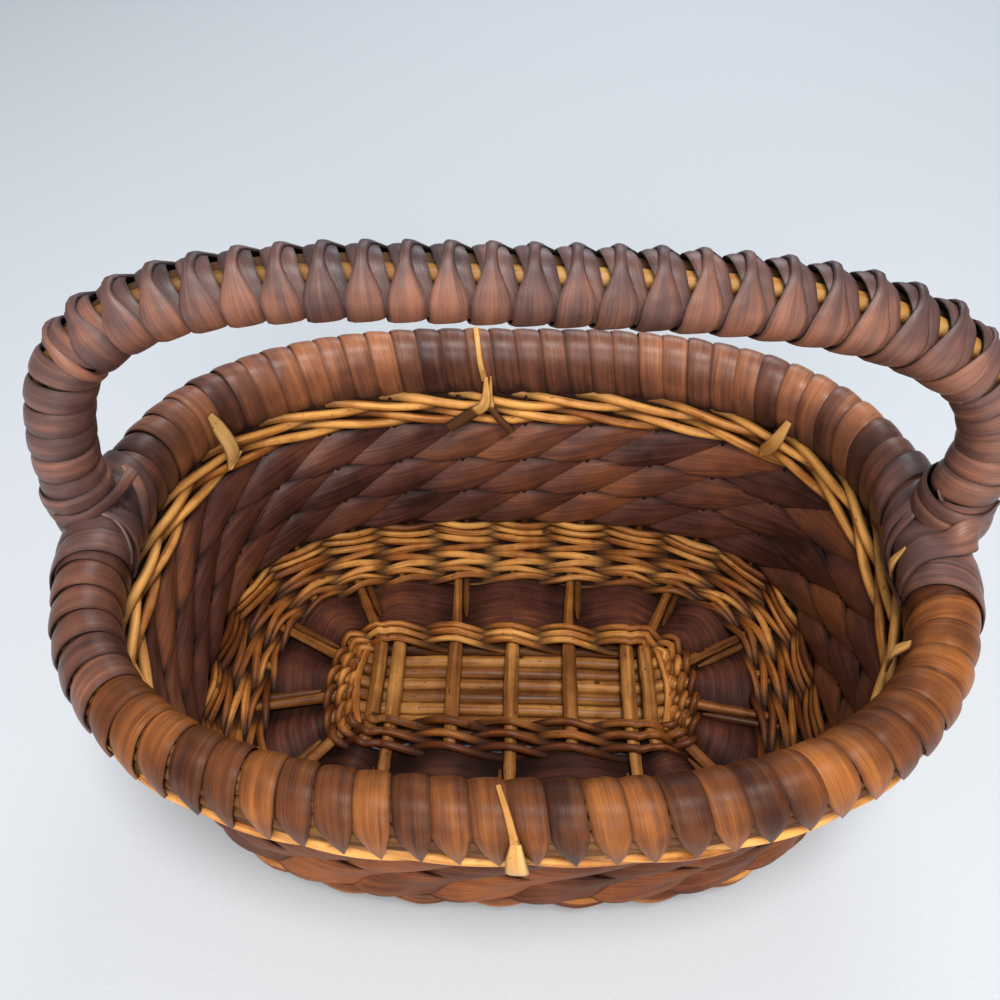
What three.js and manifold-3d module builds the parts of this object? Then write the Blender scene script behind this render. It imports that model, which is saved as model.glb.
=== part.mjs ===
// A splint gathering basket with a fixed bow handle, in millimetres, Z up.
// Willow rods cross at the middle of the base and fan out as spokes. Stakes stand up from the spokes, dark
// splint is woven round them, and a splint wound round and round covers the rim and the handle.
import * as THREE from 'three';
import Module from 'manifold-3d';
import { mergeVertices } from 'three/addons/utils/BufferGeometryUtils.js';

const wasm = await Module();
wasm.setup();

// Touching pieces keep this gap. Winding and weaving are straight across each facet, so they keep more.
const clearance = 0.3;
const weaveSeat = 0.45;
const windingSeat = 0.75;

// The rim, measured over its winding
const rimLength = 340;
const rimWidth = 256;
const rimTop = 128.7;
const rimThickness = 23.2;
const rimDepth = 28.6;
const rimSquareness = 2.58;
const rimEndRise = 5;

// The line of the stakes: its foot at the floor, and how it flares up to the rim. The near side bulges out.
const footLength = 280;
const footWidth = 186;
const footSquareness = 2.94;
const flarePower = 2.19;
const nearBulge = 8;
const bulgePower = 3;
const stakeLineInset = 3.5;
const stakeDiameter = 4;
const stakeBesideSpoke = 5;

// The crossed rods of the base
const crossRodCount = 7;
const crossRodPitch = 27.5;
const crossRodPairPitch = 9;
const crossRodDiameter = 7;
const longRodCount = 6;
const longRodDiameter = 6.3;
const longRodPitch = 6.8;
const spokeRootDiameter = 6;
const spokeTipDiameter = 4.4;
const spokeFanFromCross = 4.5;
const spokeFanFromLong = 3.85;
const spokeTipHeight = 5.2;
const longSpokeRootHeight = 6;
const longRodLift = 0.6;

// The inner twining, one rod taken round three times
const twiningTurns = 3;
const twiningRodDiameter = 2.6;
const twiningPitch = 4.6;
const twiningInset = 3.2;

// The broad splint of the base
const baseSplintThickness = 1.2;
const baseSplintGapInside = 1;
const baseSplintGapOutside = 1;

// The willow wale that turns the base up into the wall, an inner and an outer layer with the stakes between
const baseWaleWidth = 27.5;
const baseWaleLayer = 2;
const baseWaleTop = 26;
const baseWaleSeat = 1.35;
const baseWaleDip = 2.9;
const baseWaleRows = 8;
const baseWaleRidge = 1;
const turnUpRadius = 18;
const spokeEndInset = 15;
const stakeEndCover = 1;

// The wall's broad splints and the pale willow above them
const wallRowCount = 3;
const wallRowHeight = 19;
const wallSplintThickness = 1.6;
const rowGap = 0.6;
const paleRowCount = 2;
const paleRowHeight = 6.2;
const paleRowThickness = 3.4;

// The rim's winding
const turnsPerStake = 3;
const rimSplintThickness = 1.6;
const windingGap = 0.9;
const windingSteps = 8;

// The handle: its centreline, and the wound splints over its core. Its legs stand in from the rim's ends.
const handleInset = 7;
const handleTop = 221;
const handleSquareness = 3.5;
const handleShift = 4;
const handleLean = 13;
const handleSkew = 0.05;
const footOutset = 6;
const footTuckHeight = 0.45;
const legCoreDiameter = 19.9;
const bowCoreDiameter = 19.5;
const bowCoreTaper = 5;
const handleSplintThickness = 1.3;
const legPitch = 10;
const bowPitch = 13.3;
const bowSplintWidth = 9.6;
const crossingSpan = 0.68;

// The lashings that hold the handle's feet, and the willow ties of the rim
const lashingThickness = 2.2;
const lashingRise = 20;
const lashingHalfWidth = 19;
const lashingDrop = 12;
const lashingFlare = 2;
const lashingShoulder = 4;
const tieWidth = 5;
const tieThickness = 1.2;
const tiePlaces = [
  { name: 'rim_tie_far_middle', turn: 25.7, inside: true },
  { name: 'rim_tie_far_left', turn: 21.65, inside: true },
  { name: 'rim_tie_far_right', turn: 3.6, inside: true },
  { name: 'rim_tie_right', turn: 8.4, inside: true },
  { name: 'rim_tie_near_middle', turn: 13.1, inside: false },
];

// Sizes that follow from those above
const stakeCount = 2 * (crossRodCount + longRodCount);
const halfCross = (crossRodCount - 1) / 2;
const rimHalfLength = (rimLength - rimThickness) / 2;
const rimHalfWidth = (rimWidth - rimThickness) / 2;
const rimCentreHeight = rimTop - rimDepth / 2;
const stakeRadius = stakeDiameter / 2;
const longRodHeight = longRodDiameter / 2 + longRodLift;
const crossRodHeight = longRodHeight + (longRodDiameter + crossRodDiameter) / 2 + clearance;
const baseWaleGap = Math.max(spokeTipDiameter, stakeDiameter) / 2 + baseWaleSeat;
const handleSpan = rimLength - handleInset;
const wallBottom = baseWaleTop + rowGap;
const wallTop = wallBottom + wallRowCount * (wallRowHeight + rowGap);
const paleTop = wallTop + paleRowCount * (paleRowHeight + rowGap) - rowGap;

// Colours
const red = '#6b3a2a';
const dark = '#4a2a24';
const gold = '#b5793a';
const honey = '#b98b4e';
const cream = '#d8c08a';

const basket = new THREE.Group();

function addPiece(name, geometry, colour, roughness = 0.55) {
  const material = new THREE.MeshStandardMaterial({ color: colour, roughness, metalness: 0 });
  const mesh = new THREE.Mesh(geometry, material);
  mesh.name = name;
  basket.add(mesh);
}

// A closed skin over a row of sections, each with the same number of points. The row closes on itself, or
// ends in flat caps.
function skinSections(sections, closed = false) {
  const count = sections[0].length;
  const rows = sections.length;
  const points = sections.flat();
  const triangles = [];
  const lastRow = closed ? rows : rows - 1;
  for (let row = 0; row < lastRow; row += 1) {
    const next = (row + 1) % rows;
    for (let i = 0; i < count; i += 1) {
      const j = (i + 1) % count;
      const a = row * count + i;
      const b = row * count + j;
      const c = next * count + j;
      const d = next * count + i;
      triangles.push([a, b, c], [a, c, d]);
    }
  }
  if (!closed) {
    for (let i = 1; i < count - 1; i += 1) {
      const end = (rows - 1) * count;
      triangles.push([0, i + 1, i], [end, end + i, end + i + 1]);
    }
  }
  return facingOut(points, triangles);
}

// Turns the triangles round where they would face in
function facingOut(points, triangles) {
  let volume = 0;
  for (const [a, b, c] of triangles) {
    volume += points[a].dot(new THREE.Vector3().crossVectors(points[b], points[c]));
  }
  const index = triangles.flatMap(([a, b, c]) => (volume > 0 ? [a, b, c] : [a, c, b]));
  const geometry = new THREE.BufferGeometry();
  geometry.setAttribute('position', new THREE.Float32BufferAttribute(points.flatMap((p) => p.toArray()), 3));
  geometry.setIndex(index);
  return geometry;
}

// A round tube through points, with a radius for each point
function tube(points, radii, sides) {
  const curve = new THREE.CatmullRomCurve3(points, false, 'centripetal');
  const steps = points.length - 1;
  const frames = curve.computeFrenetFrames(steps, false);
  const sections = [];
  for (let i = 0; i <= steps; i += 1) {
    const radius = typeof radii === 'number' ? radii : radii[i];
    const tangent = curve.getTangent(i / steps);
    const normal = frames.normals[i].clone().projectOnPlane(tangent).normalize();
    const across = new THREE.Vector3().crossVectors(tangent, normal);
    const section = [];
    for (let side = 0; side < sides; side += 1) {
      const angle = (2 * Math.PI * side) / sides;
      const arm = normal.clone().multiplyScalar(Math.cos(angle)).addScaledVector(across, Math.sin(angle));
      section.push(points[i].clone().addScaledVector(arm, radius));
    }
    sections.push(section);
  }
  return skinSections(sections);
}

// A rounded rectangle, x/a and y/b to a power, as a function of the share of its length. It starts at the
// middle of the far side and runs clockwise.
function ovalByLength(halfLength, halfWidth, squareness) {
  const samples = 720;
  const points = [];
  const lengths = [0];
  for (let i = 0; i <= samples; i += 1) {
    const angle = (2 * Math.PI * i) / samples;
    const x = halfLength * Math.sign(Math.sin(angle)) * Math.abs(Math.sin(angle)) ** (2 / squareness);
    const y = halfWidth * Math.sign(Math.cos(angle)) * Math.abs(Math.cos(angle)) ** (2 / squareness);
    points.push(new THREE.Vector2(x, y));
    if (i > 0) {
      lengths.push(lengths[i - 1] + points[i].distanceTo(points[i - 1]));
    }
  }
  const total = lengths[samples];
  const pointAt = (share) => {
    const wanted = (share - Math.floor(share)) * total;
    let low = 0;
    let high = samples;
    while (high - low > 1) {
      const middle = (low + high) >> 1;
      if (lengths[middle] <= wanted) {
        low = middle;
      } else {
        high = middle;
      }
    }
    return points[low].clone().lerp(points[high], (wanted - lengths[low]) / (lengths[high] - lengths[low]));
  };
  return { pointAt, total };
}

// The line of the stakes at a height. Places round it count the stakes: stake 0 is at the middle of the far
// side, and the count runs clockwise.
const stakeLines = new Map();
function stakeLine(height) {
  const key = height.toFixed(3);
  if (!stakeLines.has(key)) {
    const share = Math.min(Math.max(height / rimCentreHeight, 0), 1) ** flarePower;
    const halfLength = THREE.MathUtils.lerp(footLength / 2, rimHalfLength - stakeLineInset, share);
    const halfWidth = THREE.MathUtils.lerp(footWidth / 2, rimHalfWidth - stakeLineInset, share);
    const squareness = THREE.MathUtils.lerp(footSquareness, rimSquareness, share);
    stakeLines.set(key, ovalByLength(halfLength, halfWidth, squareness));
  }
  return stakeLines.get(key);
}

function stakeLinePoint(place, height) {
  const point = stakeLine(height).pointAt(place / stakeCount);
  const nearness = Math.max(0, -point.y / (footWidth / 2)) ** bulgePower;
  const share = Math.min(Math.max(height / rimCentreHeight, 0), 1);
  point.y -= nearBulge * nearness * (1 - share ** bulgePower);
  return point;
}

// The outward direction of the stake line, in plan
function outwardAt(place) {
  const step = 0.02;
  const along = stakeLinePoint(place + step, 0).sub(stakeLinePoint(place - step, 0)).normalize();
  return new THREE.Vector2(-along.y, along.x);
}

// How far the rim's rise lifts a point of the wall
function endRise(x, height) {
  const share = Math.min(Math.max((height - wallBottom) / (rimCentreHeight - wallBottom), 0), 1);
  return rimEndRise * share * Math.abs((2 * x) / rimLength) ** 1.5;
}

// A point of the wall: a place round it, a height, and how far out from the stake line it lies
function wallPoint(place, height, out = 0) {
  const plan = stakeLinePoint(place, height).addScaledVector(outwardAt(place), out);
  return new THREE.Vector3(plan.x, plan.y, height + endRise(plan.x, height));
}

// Where each spoke leaves the crossed rods, in plan, in the order of the stakes
function crossRodX(number) {
  const step = Math.min(Math.abs(number), halfCross - 1) * crossRodPitch;
  const pair = Math.abs(number) === halfCross ? crossRodPairPitch : 0;
  return Math.sign(number) * (step + pair);
}

function longRodY(number) {
  return ((longRodCount - 1) / 2 - number) * longRodPitch;
}

// The spokes fan out where the twining goes round the crossed rods
const lastCrossX = crossRodX(halfCross) + crossRodDiameter / 2;
const lastLongY = longRodY(0) + longRodDiameter / 2;
const fanX = lastCrossX + spokeFanFromCross;
const fanY = lastLongY + spokeFanFromLong;
const spokeRoots = [];
for (let number = 0; number <= halfCross; number += 1) {
  spokeRoots.push(new THREE.Vector2(crossRodX(number), fanY));
}
for (let number = 0; number < longRodCount; number += 1) {
  spokeRoots.push(new THREE.Vector2(fanX, longRodY(number)));
}
for (let number = halfCross; number >= -halfCross; number -= 1) {
  spokeRoots.push(new THREE.Vector2(crossRodX(number), -fanY));
}
for (let number = longRodCount - 1; number >= 0; number -= 1) {
  spokeRoots.push(new THREE.Vector2(-fanX, longRodY(number)));
}
for (let number = -halfCross; number < 0; number += 1) {
  spokeRoots.push(new THREE.Vector2(crossRodX(number), fanY));
}

function spokeRoot(place) {
  const turned = ((place % stakeCount) + stakeCount) % stakeCount;
  const before = Math.floor(turned);
  return spokeRoots[before].clone().lerp(spokeRoots[(before + 1) % stakeCount], turned - before);
}

function spokeLength(place) {
  return stakeLinePoint(place, 0).distanceTo(spokeRoot(place));
}

// A point of the base in plan, at a distance in from the stake line along the spokes
function basePlan(place, inset, height = 0) {
  return stakeLinePoint(place, height).lerp(spokeRoot(place), inset / spokeLength(place));
}

function isCrossSpoke(number) {
  const root = spokeRoots[((number % stakeCount) + stakeCount) % stakeCount];
  return Math.abs(root.y) === fanY;
}

// How much of a spoke lies between the wale and the crossed rods at an inset: 0 at the wale, 1 at its root
function spokeShare(place, inset) {
  const share = (inset - baseWaleWidth) / (spokeLength(place) - baseWaleWidth);
  return Math.min(Math.max(share, 0), 1);
}

function spokeHeight(place, inset) {
  const before = Math.floor(place);
  const heights = [before, before + 1].map((number) => {
    const share = spokeShare(number, inset);
    if (isCrossSpoke(number)) {
      return spokeTipHeight + (crossRodHeight - spokeTipHeight) * share ** 2;
    }
    return spokeTipHeight + (longSpokeRootHeight - spokeTipHeight) * share;
  });
  return THREE.MathUtils.lerp(heights[0], heights[1], place - before);
}

function spokeRadius(place, inset) {
  return THREE.MathUtils.lerp(spokeTipDiameter, spokeRootDiameter, spokeShare(place, inset)) / 2;
}

function spokePoint(number, inset) {
  const plan = basePlan(number, inset);
  return new THREE.Vector3(plan.x, plan.y, spokeHeight(number, inset));
}

// One rod of the base: a fanned spoke at each end, and the straight part between their roots
const spokeSteps = 3;
function baseRod(startSpoke, endSpoke, middleHeight, diameter, middlePoints) {
  const points = [];
  const radii = [];
  const addSpoke = (number, step) => {
    const reach = spokeLength(number) - twiningInset;
    const inset = THREE.MathUtils.lerp(spokeEndInset, reach, step / spokeSteps);
    points.push(spokePoint(number, inset));
    radii.push(spokeRadius(number, inset));
  };
  for (let step = 0; step <= spokeSteps; step += 1) {
    addSpoke(startSpoke, step);
  }
  for (const [x, y] of middlePoints) {
    points.push(new THREE.Vector3(x, y, middleHeight));
    radii.push(diameter / 2);
  }
  for (let step = spokeSteps; step >= 0; step -= 1) {
    addSpoke(endSpoke, step);
  }
  return tube(points, radii, 5);
}

function addBaseRods() {
  for (let i = 0; i < longRodCount; i += 1) {
    const y = longRodY(i);
    const leftSpoke = stakeCount - halfCross - 1 - i;
    const rightSpoke = halfCross + 1 + i;
    const middle = [[-lastCrossX, y], [0, y], [lastCrossX, y]];
    const geometry = baseRod(leftSpoke, rightSpoke, longRodHeight, longRodDiameter, middle);
    addPiece(`base_rod_long_${i + 1}`, geometry, honey);
  }
  for (let i = 0; i < crossRodCount; i += 1) {
    const number = i - halfCross;
    const x = crossRodX(number);
    const farSpoke = (number + stakeCount) % stakeCount;
    const nearSpoke = stakeCount / 2 - number;
    const middle = [[x, lastLongY], [x, 0], [x, -lastLongY]];
    const geometry = baseRod(farSpoke, nearSpoke, crossRodHeight, crossRodDiameter, middle);
    addPiece(`base_rod_cross_${i + 1}`, geometry, honey);
  }
}

// The inner twining: one rod, three times round in a spiral. It goes over all the rods of an end at once, and
// along the sides it goes under and over by turns, where a pair counts as one.
function twiningSide(number) {
  const fromMiddle = Math.min(Math.abs(number - stakeCount / 2), number, stakeCount - number);
  return isCrossSpoke(number) && Math.min(fromMiddle, halfCross - 1) % 2 === 0 ? -1 : 1;
}

function twiningSwing(place) {
  const before = Math.floor(place) % stakeCount;
  const after = (before + 1) % stakeCount;
  return THREE.MathUtils.lerp(twiningSide(before), twiningSide(after), place % 1);
}

function addInnerTwining() {
  const radius = twiningRodDiameter / 2;
  const stepsPerSpoke = 2;
  const steps = twiningTurns * stakeCount * stepsPerSpoke - 1;
  const sides = 4;
  const points = [];
  for (let i = 0; i <= steps; i += 1) {
    const place = i / stepsPerSpoke;
    const inset = spokeLength(place) - twiningInset - (twiningPitch * place) / stakeCount;
    const swing = spokeRadius(place, inset) + clearance + radius;
    const plan = basePlan(place, inset);
    const height = spokeHeight(place, inset) + swing * twiningSwing(place);
    points.push(new THREE.Vector3(plan.x, plan.y, height));
  }
  const sections = points.map((point, i) => {
    const before = points[Math.max(i - 1, 0)];
    const after = points[Math.min(i + 1, steps)];
    const along = after.clone().sub(before).normalize();
    const outward = new THREE.Vector3(along.y, -along.x, 0).normalize();
    const up = new THREE.Vector3().crossVectors(outward, along).normalize();
    const section = [];
    for (let side = 0; side < sides; side += 1) {
      const angle = (2 * Math.PI * side) / sides;
      const arm = outward.clone().multiplyScalar(Math.cos(angle)).addScaledVector(up, Math.sin(angle));
      section.push(point.clone().addScaledVector(arm, radius));
    }
    return section;
  });
  addPiece('base_inner_twining', skinSections(sections), gold);
  printTurnGap('base_inner_twining', sections, stakeCount * stepsPerSpoke);
}

// Prints the least distance between the points of a winding and the same points one turn on
function printTurnGap(name, sections, stepsPerTurn) {
  let least = Infinity;
  for (let i = 0; i + stepsPerTurn < sections.length; i += 1) {
    for (const a of sections[i]) {
      for (const b of sections[i + stepsPerTurn]) {
        least = Math.min(least, a.distanceTo(b));
      }
    }
  }
  console.log(`least gap of ${name} to itself: ${least.toFixed(2)} mm`);
}

// The broad splint of the base, over the even spokes and under the odd ones
function addBaseSplint() {
  const swings = [1, 0.95, 0, -0.95];
  const twiningEdge = twiningInset + twiningPitch * twiningTurns + twiningRodDiameter / 2;
  const twiningReach = twiningEdge + baseSplintGapInside;
  const sections = [];
  for (let i = 0; i < stakeCount * swings.length; i += 1) {
    const place = i / swings.length;
    const before = Math.floor(place);
    const share = Math.round((place - before) * swings.length);
    const sign = before % 2 === 0 ? 1 : -1;
    const swing = sign * swings[share];
    const insets = [baseWaleWidth + baseSplintGapOutside, spokeLength(place) - twiningReach];
    const corner = (inset, level) => {
      const reach = spokeRadius(place, inset) + clearance + baseSplintThickness / 2;
      const plan = basePlan(place, inset);
      const height = spokeHeight(place, inset) + swing * reach + (level * baseSplintThickness) / 2;
      return new THREE.Vector3(plan.x, plan.y, height);
    };
    const [outer, inner] = insets;
    sections.push([corner(outer, -1), corner(inner, -1), corner(inner, 1), corner(outer, 1)]);
  }
  addPiece('base_splint', skinSections(sections, true), dark);
}

// The base wale: each layer is a ring that lies flat, turns up and stands, and the stakes run between them.
// A profile is a list of insets from the stake line and heights. Between the stakes the layers dip towards
// each other, as woven rods do, and the outer layer stands on a flat underside.
function turnUpPoint(angle, radius) {
  const centreHeight = spokeTipHeight + turnUpRadius;
  return [turnUpRadius - radius * Math.sin(angle), centreHeight - radius * Math.cos(angle)];
}

function outerWaleProfile(dip) {
  const near = baseWaleGap;
  const far = baseWaleGap + baseWaleLayer;
  const cornerShare = Math.cos(Math.PI / 8);
  const arc = (offset) => [
    turnUpPoint(Math.PI / 8, (turnUpRadius + offset) / cornerShare),
    turnUpPoint((3 * Math.PI) / 8, (turnUpRadius + offset - dip) / cornerShare),
  ];
  return [
    [baseWaleWidth, spokeTipHeight - far],
    ...arc(far),
    [dip - far, baseWaleTop],
    [dip - near, baseWaleTop],
    ...arc(near).reverse(),
    [baseWaleWidth, spokeTipHeight - near],
  ];
}

// The inner layer shows the rows of the wale as ridges
function innerWaleProfile(dip) {
  const near = baseWaleGap - dip;
  const far = near + baseWaleLayer;
  const flat = baseWaleWidth - turnUpRadius;
  const turn = (turnUpRadius * Math.PI) / 2;
  const total = flat + turn + baseWaleTop - spokeTipHeight - turnUpRadius;
  const angles = [0, Math.PI / 4, Math.PI / 2];
  const rows = [];
  for (let i = 0; i <= 2 * baseWaleRows; i += 1) {
    const run = (total * i) / (2 * baseWaleRows);
    const offset = i % 2 === 0 ? far - baseWaleRidge : far;
    const angle = Math.min(Math.max((run - flat) / turnUpRadius, 0), Math.PI / 2);
    const [inset, height] = turnUpPoint(angle, turnUpRadius - offset);
    rows.push([inset + Math.max(flat - run, 0), height + Math.max(run - flat - turn, 0)]);
  }
  return [
    [baseWaleWidth, spokeTipHeight + near],
    ...angles.map((angle) => turnUpPoint(angle, turnUpRadius - near)),
    [near, baseWaleTop],
    ...rows.reverse(),
  ];
}

// A layer's crests lie over each spoke and the stake beside it
function waleRing(profileAt) {
  const crest = (stakeBesideSpoke / 2) * (stakeCount / stakeLine(0).total);
  const sections = [];
  for (let i = 0; i < stakeCount * 2; i += 1) {
    const profile = profileAt(i % 2 === 0 ? 0 : baseWaleDip);
    sections.push(profile.map(([inset, height]) => {
      const plan = basePlan(crest + i / 2, inset, height);
      return new THREE.Vector3(plan.x, plan.y, height);
    }));
  }
  return skinSections(sections, true);
}

// A stake lies beside its spoke in the wale, turns up and stands to just under the rim's winding
function stakePlace(number) {
  const spacing = stakeLine(0).total / stakeCount;
  return number + stakeBesideSpoke / spacing;
}

function addStakes() {
  const number = (k) => String(k + 1).padStart(2, '0');
  for (let k = 0; k < stakeCount; k += 1) {
    const points = [];
    const along = stakeLinePoint(k, 0).sub(spokeRoot(k)).normalize();
    const beside = new THREE.Vector2(along.y, -along.x).multiplyScalar(stakeBesideSpoke);
    const basePoint = (inset, height) => {
      const plan = basePlan(k, inset, height).add(beside);
      return new THREE.Vector3(plan.x, plan.y, height);
    };
    points.push(basePoint(baseWaleWidth - stakeEndCover, spokeTipHeight));
    points.push(basePoint(turnUpRadius, spokeTipHeight));
    points.push(basePoint(...turnUpPoint(Math.PI / 4, turnUpRadius)));
    points.push(wallPoint(stakePlace(k), spokeTipHeight + turnUpRadius));
    const topHeight = rimCentreHeight - rimDepth / 2 - 2 * clearance;
    for (const share of [0.25, 0.5, 0.75, 1]) {
      const height = THREE.MathUtils.lerp(spokeTipHeight + turnUpRadius, topHeight, share);
      points.push(wallPoint(stakePlace(k), height));
    }
    addPiece(`side_stake_${number(k)}`, tube(points, stakeRadius, 5), gold);
  }
}

// A woven row of the wall: in front of one stake and behind the next
function wovenRow(bottom, height, thickness, phase) {
  const swings = [1, 0];
  const reach = stakeRadius + weaveSeat + thickness / 2;
  const sections = [];
  for (let i = 0; i < stakeCount * swings.length; i += 1) {
    const step = i % swings.length;
    const number = (i - step) / swings.length;
    const place = stakePlace(number) + step / swings.length;
    const sign = (number + phase) % 2 === 0 ? 1 : -1;
    const out = sign * swings[step] * reach;
    const corner = (level, side) => wallPoint(place, level, out + (side * thickness) / 2);
    const top = bottom + height;
    sections.push([corner(bottom, -1), corner(bottom, 1), corner(top, 1), corner(top, -1)]);
  }
  return skinSections(sections, true);
}

function addWall() {
  for (let row = 0; row < wallRowCount; row += 1) {
    const bottom = wallBottom + row * (wallRowHeight + rowGap);
    addPiece(`wall_splint_${row + 1}`, wovenRow(bottom, wallRowHeight, wallSplintThickness, row), dark);
  }
  for (let row = 0; row < paleRowCount; row += 1) {
    const bottom = wallTop + row * (paleRowHeight + rowGap);
    const geometry = wovenRow(bottom, paleRowHeight, paleRowThickness, row + wallRowCount);
    addPiece(`pale_wale_${row + 1}`, geometry, gold);
  }
}

// The rim's centreline, by places that count the stakes, and a frame there: out and up
const rimLine = ovalByLength(rimHalfLength, rimHalfWidth, rimSquareness);
function rimFrame(place) {
  const at = (p) => {
    const plan = rimLine.pointAt(p / stakeCount);
    return new THREE.Vector3(plan.x, plan.y, rimCentreHeight + endRise(plan.x, rimCentreHeight));
  };
  const step = 0.05;
  const along = at(place + step).sub(at(place - step)).normalize();
  const out = new THREE.Vector3(-along.y, along.x, 0).normalize();
  return { centre: at(place), out, up: new THREE.Vector3().crossVectors(along, out).normalize() };
}

function rimPoint(place, angle, halfThickness, halfDepth) {
  const { centre, out, up } = rimFrame(place);
  return centre
    .addScaledVector(out, halfThickness * Math.cos(angle))
    .addScaledVector(up, halfDepth * Math.sin(angle));
}

function ring(pointAt, sides, steps) {
  const sections = [];
  for (let i = 0; i < steps; i += 1) {
    const section = [];
    for (let side = 0; side < sides; side += 1) {
      section.push(pointAt(i, (2 * Math.PI * side) / sides));
    }
    sections.push(section);
  }
  return sections;
}

const rimBareThickness = rimThickness / 2 - rimSplintThickness;
const rimBareDepth = rimDepth / 2 - rimSplintThickness;

// A tube that clears the rim keeps the flats of its section outside the rim's own curve
const spaceSides = 12;
const spaceOutside = 1 / Math.cos(Math.PI / spaceSides);

function rimTube(halfThickness, halfDepth, firstPlace, lastPlace) {
  const steps = 9;
  const span = lastPlace - firstPlace;
  const pointAt = (i, angle) => {
    const place = firstPlace + (span * i) / (steps - 1);
    return rimPoint(place, angle, halfThickness * spaceOutside, halfDepth * spaceOutside);
  };
  return skinSections(ring(pointAt, spaceSides, steps));
}

function addRimCore() {
  const stepsPerStake = 2;
  const halfThickness = rimBareThickness - windingSeat;
  const halfDepth = rimBareDepth - windingSeat;
  const pointAt = (i, angle) => rimPoint(i / stepsPerStake, angle, halfThickness, halfDepth);
  addPiece('rim_core', skinSections(ring(pointAt, 8, stakeCount * stepsPerStake), true), gold);
}

// A splint wound on a line from start to end: a strip with a raised middle, one section for each step of each
// turn. The pitch and the width are given for each place on the line.
function windStrip({ pointAt, start, end, pitchAt, widthAt, hand, thickness }) {
  const sections = [];
  let middle = start;
  for (let i = 0; middle < end - 1e-6; i += 1) {
    const half = widthAt(middle) / 2;
    const angle = (hand * 2 * Math.PI * i) / windingSteps;
    sections.push([
      pointAt(middle - half, angle, 0),
      pointAt(middle + half, angle, 0),
      pointAt(middle, angle, thickness),
    ]);
    middle += pitchAt(middle) / windingSteps;
  }
  return sections;
}

function addRimWinding() {
  const pitch = 1 / turnsPerStake;
  const sections = windStrip({
    pointAt: (place, angle, lift) => rimPoint(place, angle, rimBareThickness + lift, rimBareDepth + lift),
    start: 0,
    end: stakeCount,
    pitchAt: () => pitch,
    widthAt: () => pitch - (windingGap * stakeCount) / rimLine.total,
    hand: -1,
    thickness: rimSplintThickness,
  });
  addPiece('rim_winding', skinSections(sections), red, 0.4);
  printTurnGap('rim_winding', sections, windingSteps);
}

// The handle's centreline: a bow that leans back, stands a little to the right, and tucks in at its feet
const handleFoot = rimTop + endRise(rimHalfLength, rimCentreHeight) + clearance;
const handleLine = handleCurve();

function handleCurve() {
  const samples = 120;
  const points = [];
  for (let i = 0; i <= samples; i += 1) {
    const angle = Math.PI * (1 - i / samples);
    const across = Math.sign(Math.cos(angle)) * Math.abs(Math.cos(angle)) ** (2 / handleSquareness);
    const rise = Math.abs(Math.sin(angle)) ** (2 / handleSquareness);
    const bowX = handleShift + (across * handleSpan) / 2;
    const footX = Math.sign(across) * (rimHalfLength + footOutset);
    const tuck = Math.max(0, 1 - (rise / footTuckHeight) ** 2) ** 2;
    const height = (handleTop - handleFoot) * rise * (1 - handleSkew * across);
    const x = THREE.MathUtils.lerp(bowX, footX, tuck);
    points.push(new THREE.Vector3(x, handleLean * rise ** 2, handleFoot + height));
  }
  const curve = new THREE.CatmullRomCurve3(points, false, 'centripetal');
  curve.arcLengthDivisions = 2000;
  return curve;
}

const handleLength = handleLine.getLength();

// The legs pass into the bow where the crossed winding starts: 0 on the legs, 1 on the bow
function bowShare(length) {
  const fromFoot = Math.min(length, handleLength - length);
  const legEnd = (handleLength * (1 - crossingSpan)) / 2;
  return THREE.MathUtils.smoothstep(fromFoot, legEnd * 0.6, legEnd * 1.4);
}

// The bow is thicker towards its right end
function handleCoreRadius(length) {
  const bowDiameter = bowCoreDiameter + bowCoreTaper * (length / handleLength - 0.5);
  return THREE.MathUtils.lerp(legCoreDiameter, bowDiameter, bowShare(length)) / 2;
}

function handlePoint(length, angle, radius) {
  const share = Math.min(Math.max(length / handleLength, 0), 1);
  const centre = handleLine.getPointAt(share);
  const along = handleLine.getTangentAt(share);
  const side = new THREE.Vector3(0, 1, 0).addScaledVector(along, -along.y).normalize();
  const out = new THREE.Vector3().crossVectors(along, side);
  return centre
    .addScaledVector(out, radius * Math.cos(angle))
    .addScaledVector(side, radius * Math.sin(angle));
}

function handleRings(radiusAt, firstLength, lastLength, sides, steps) {
  const sections = [];
  for (let i = 0; i <= steps; i += 1) {
    const length = THREE.MathUtils.lerp(firstLength, lastLength, i / steps);
    const section = [];
    for (let j = 0; j < sides; j += 1) {
      section.push(handlePoint(length, (2 * Math.PI * j) / sides, radiusAt(length)));
    }
    sections.push(section);
  }
  return sections;
}

function addHandle() {
  addPiece('handle_core', skinSections(handleRings(handleCoreRadius, 0, handleLength, 8, 36)), cream);
  const legWidth = legPitch - windingGap;
  const wind = (name, first, last, hand, layer) => {
    const lift = windingSeat + layer * (handleSplintThickness + windingSeat);
    const sections = windStrip({
      pointAt: (length, angle, rise) => handlePoint(length, angle, handleCoreRadius(length) + lift + rise),
      start: first,
      end: last,
      pitchAt: (length) => THREE.MathUtils.lerp(legPitch, bowPitch, bowShare(length)),
      widthAt: (length) => THREE.MathUtils.lerp(legWidth, bowSplintWidth, bowShare(length)),
      hand,
      thickness: handleSplintThickness,
    });
    addPiece(name, skinSections(sections), red, 0.4);
    printTurnGap(name, sections, windingSteps);
  };
  wind('handle_winding', legPitch / 2, handleLength - legPitch / 2, -1, 0);
  const bare = (handleLength * (1 - crossingSpan)) / 2;
  wind('handle_cross_winding', bare, handleLength - bare, 1, 1);
}

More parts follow.
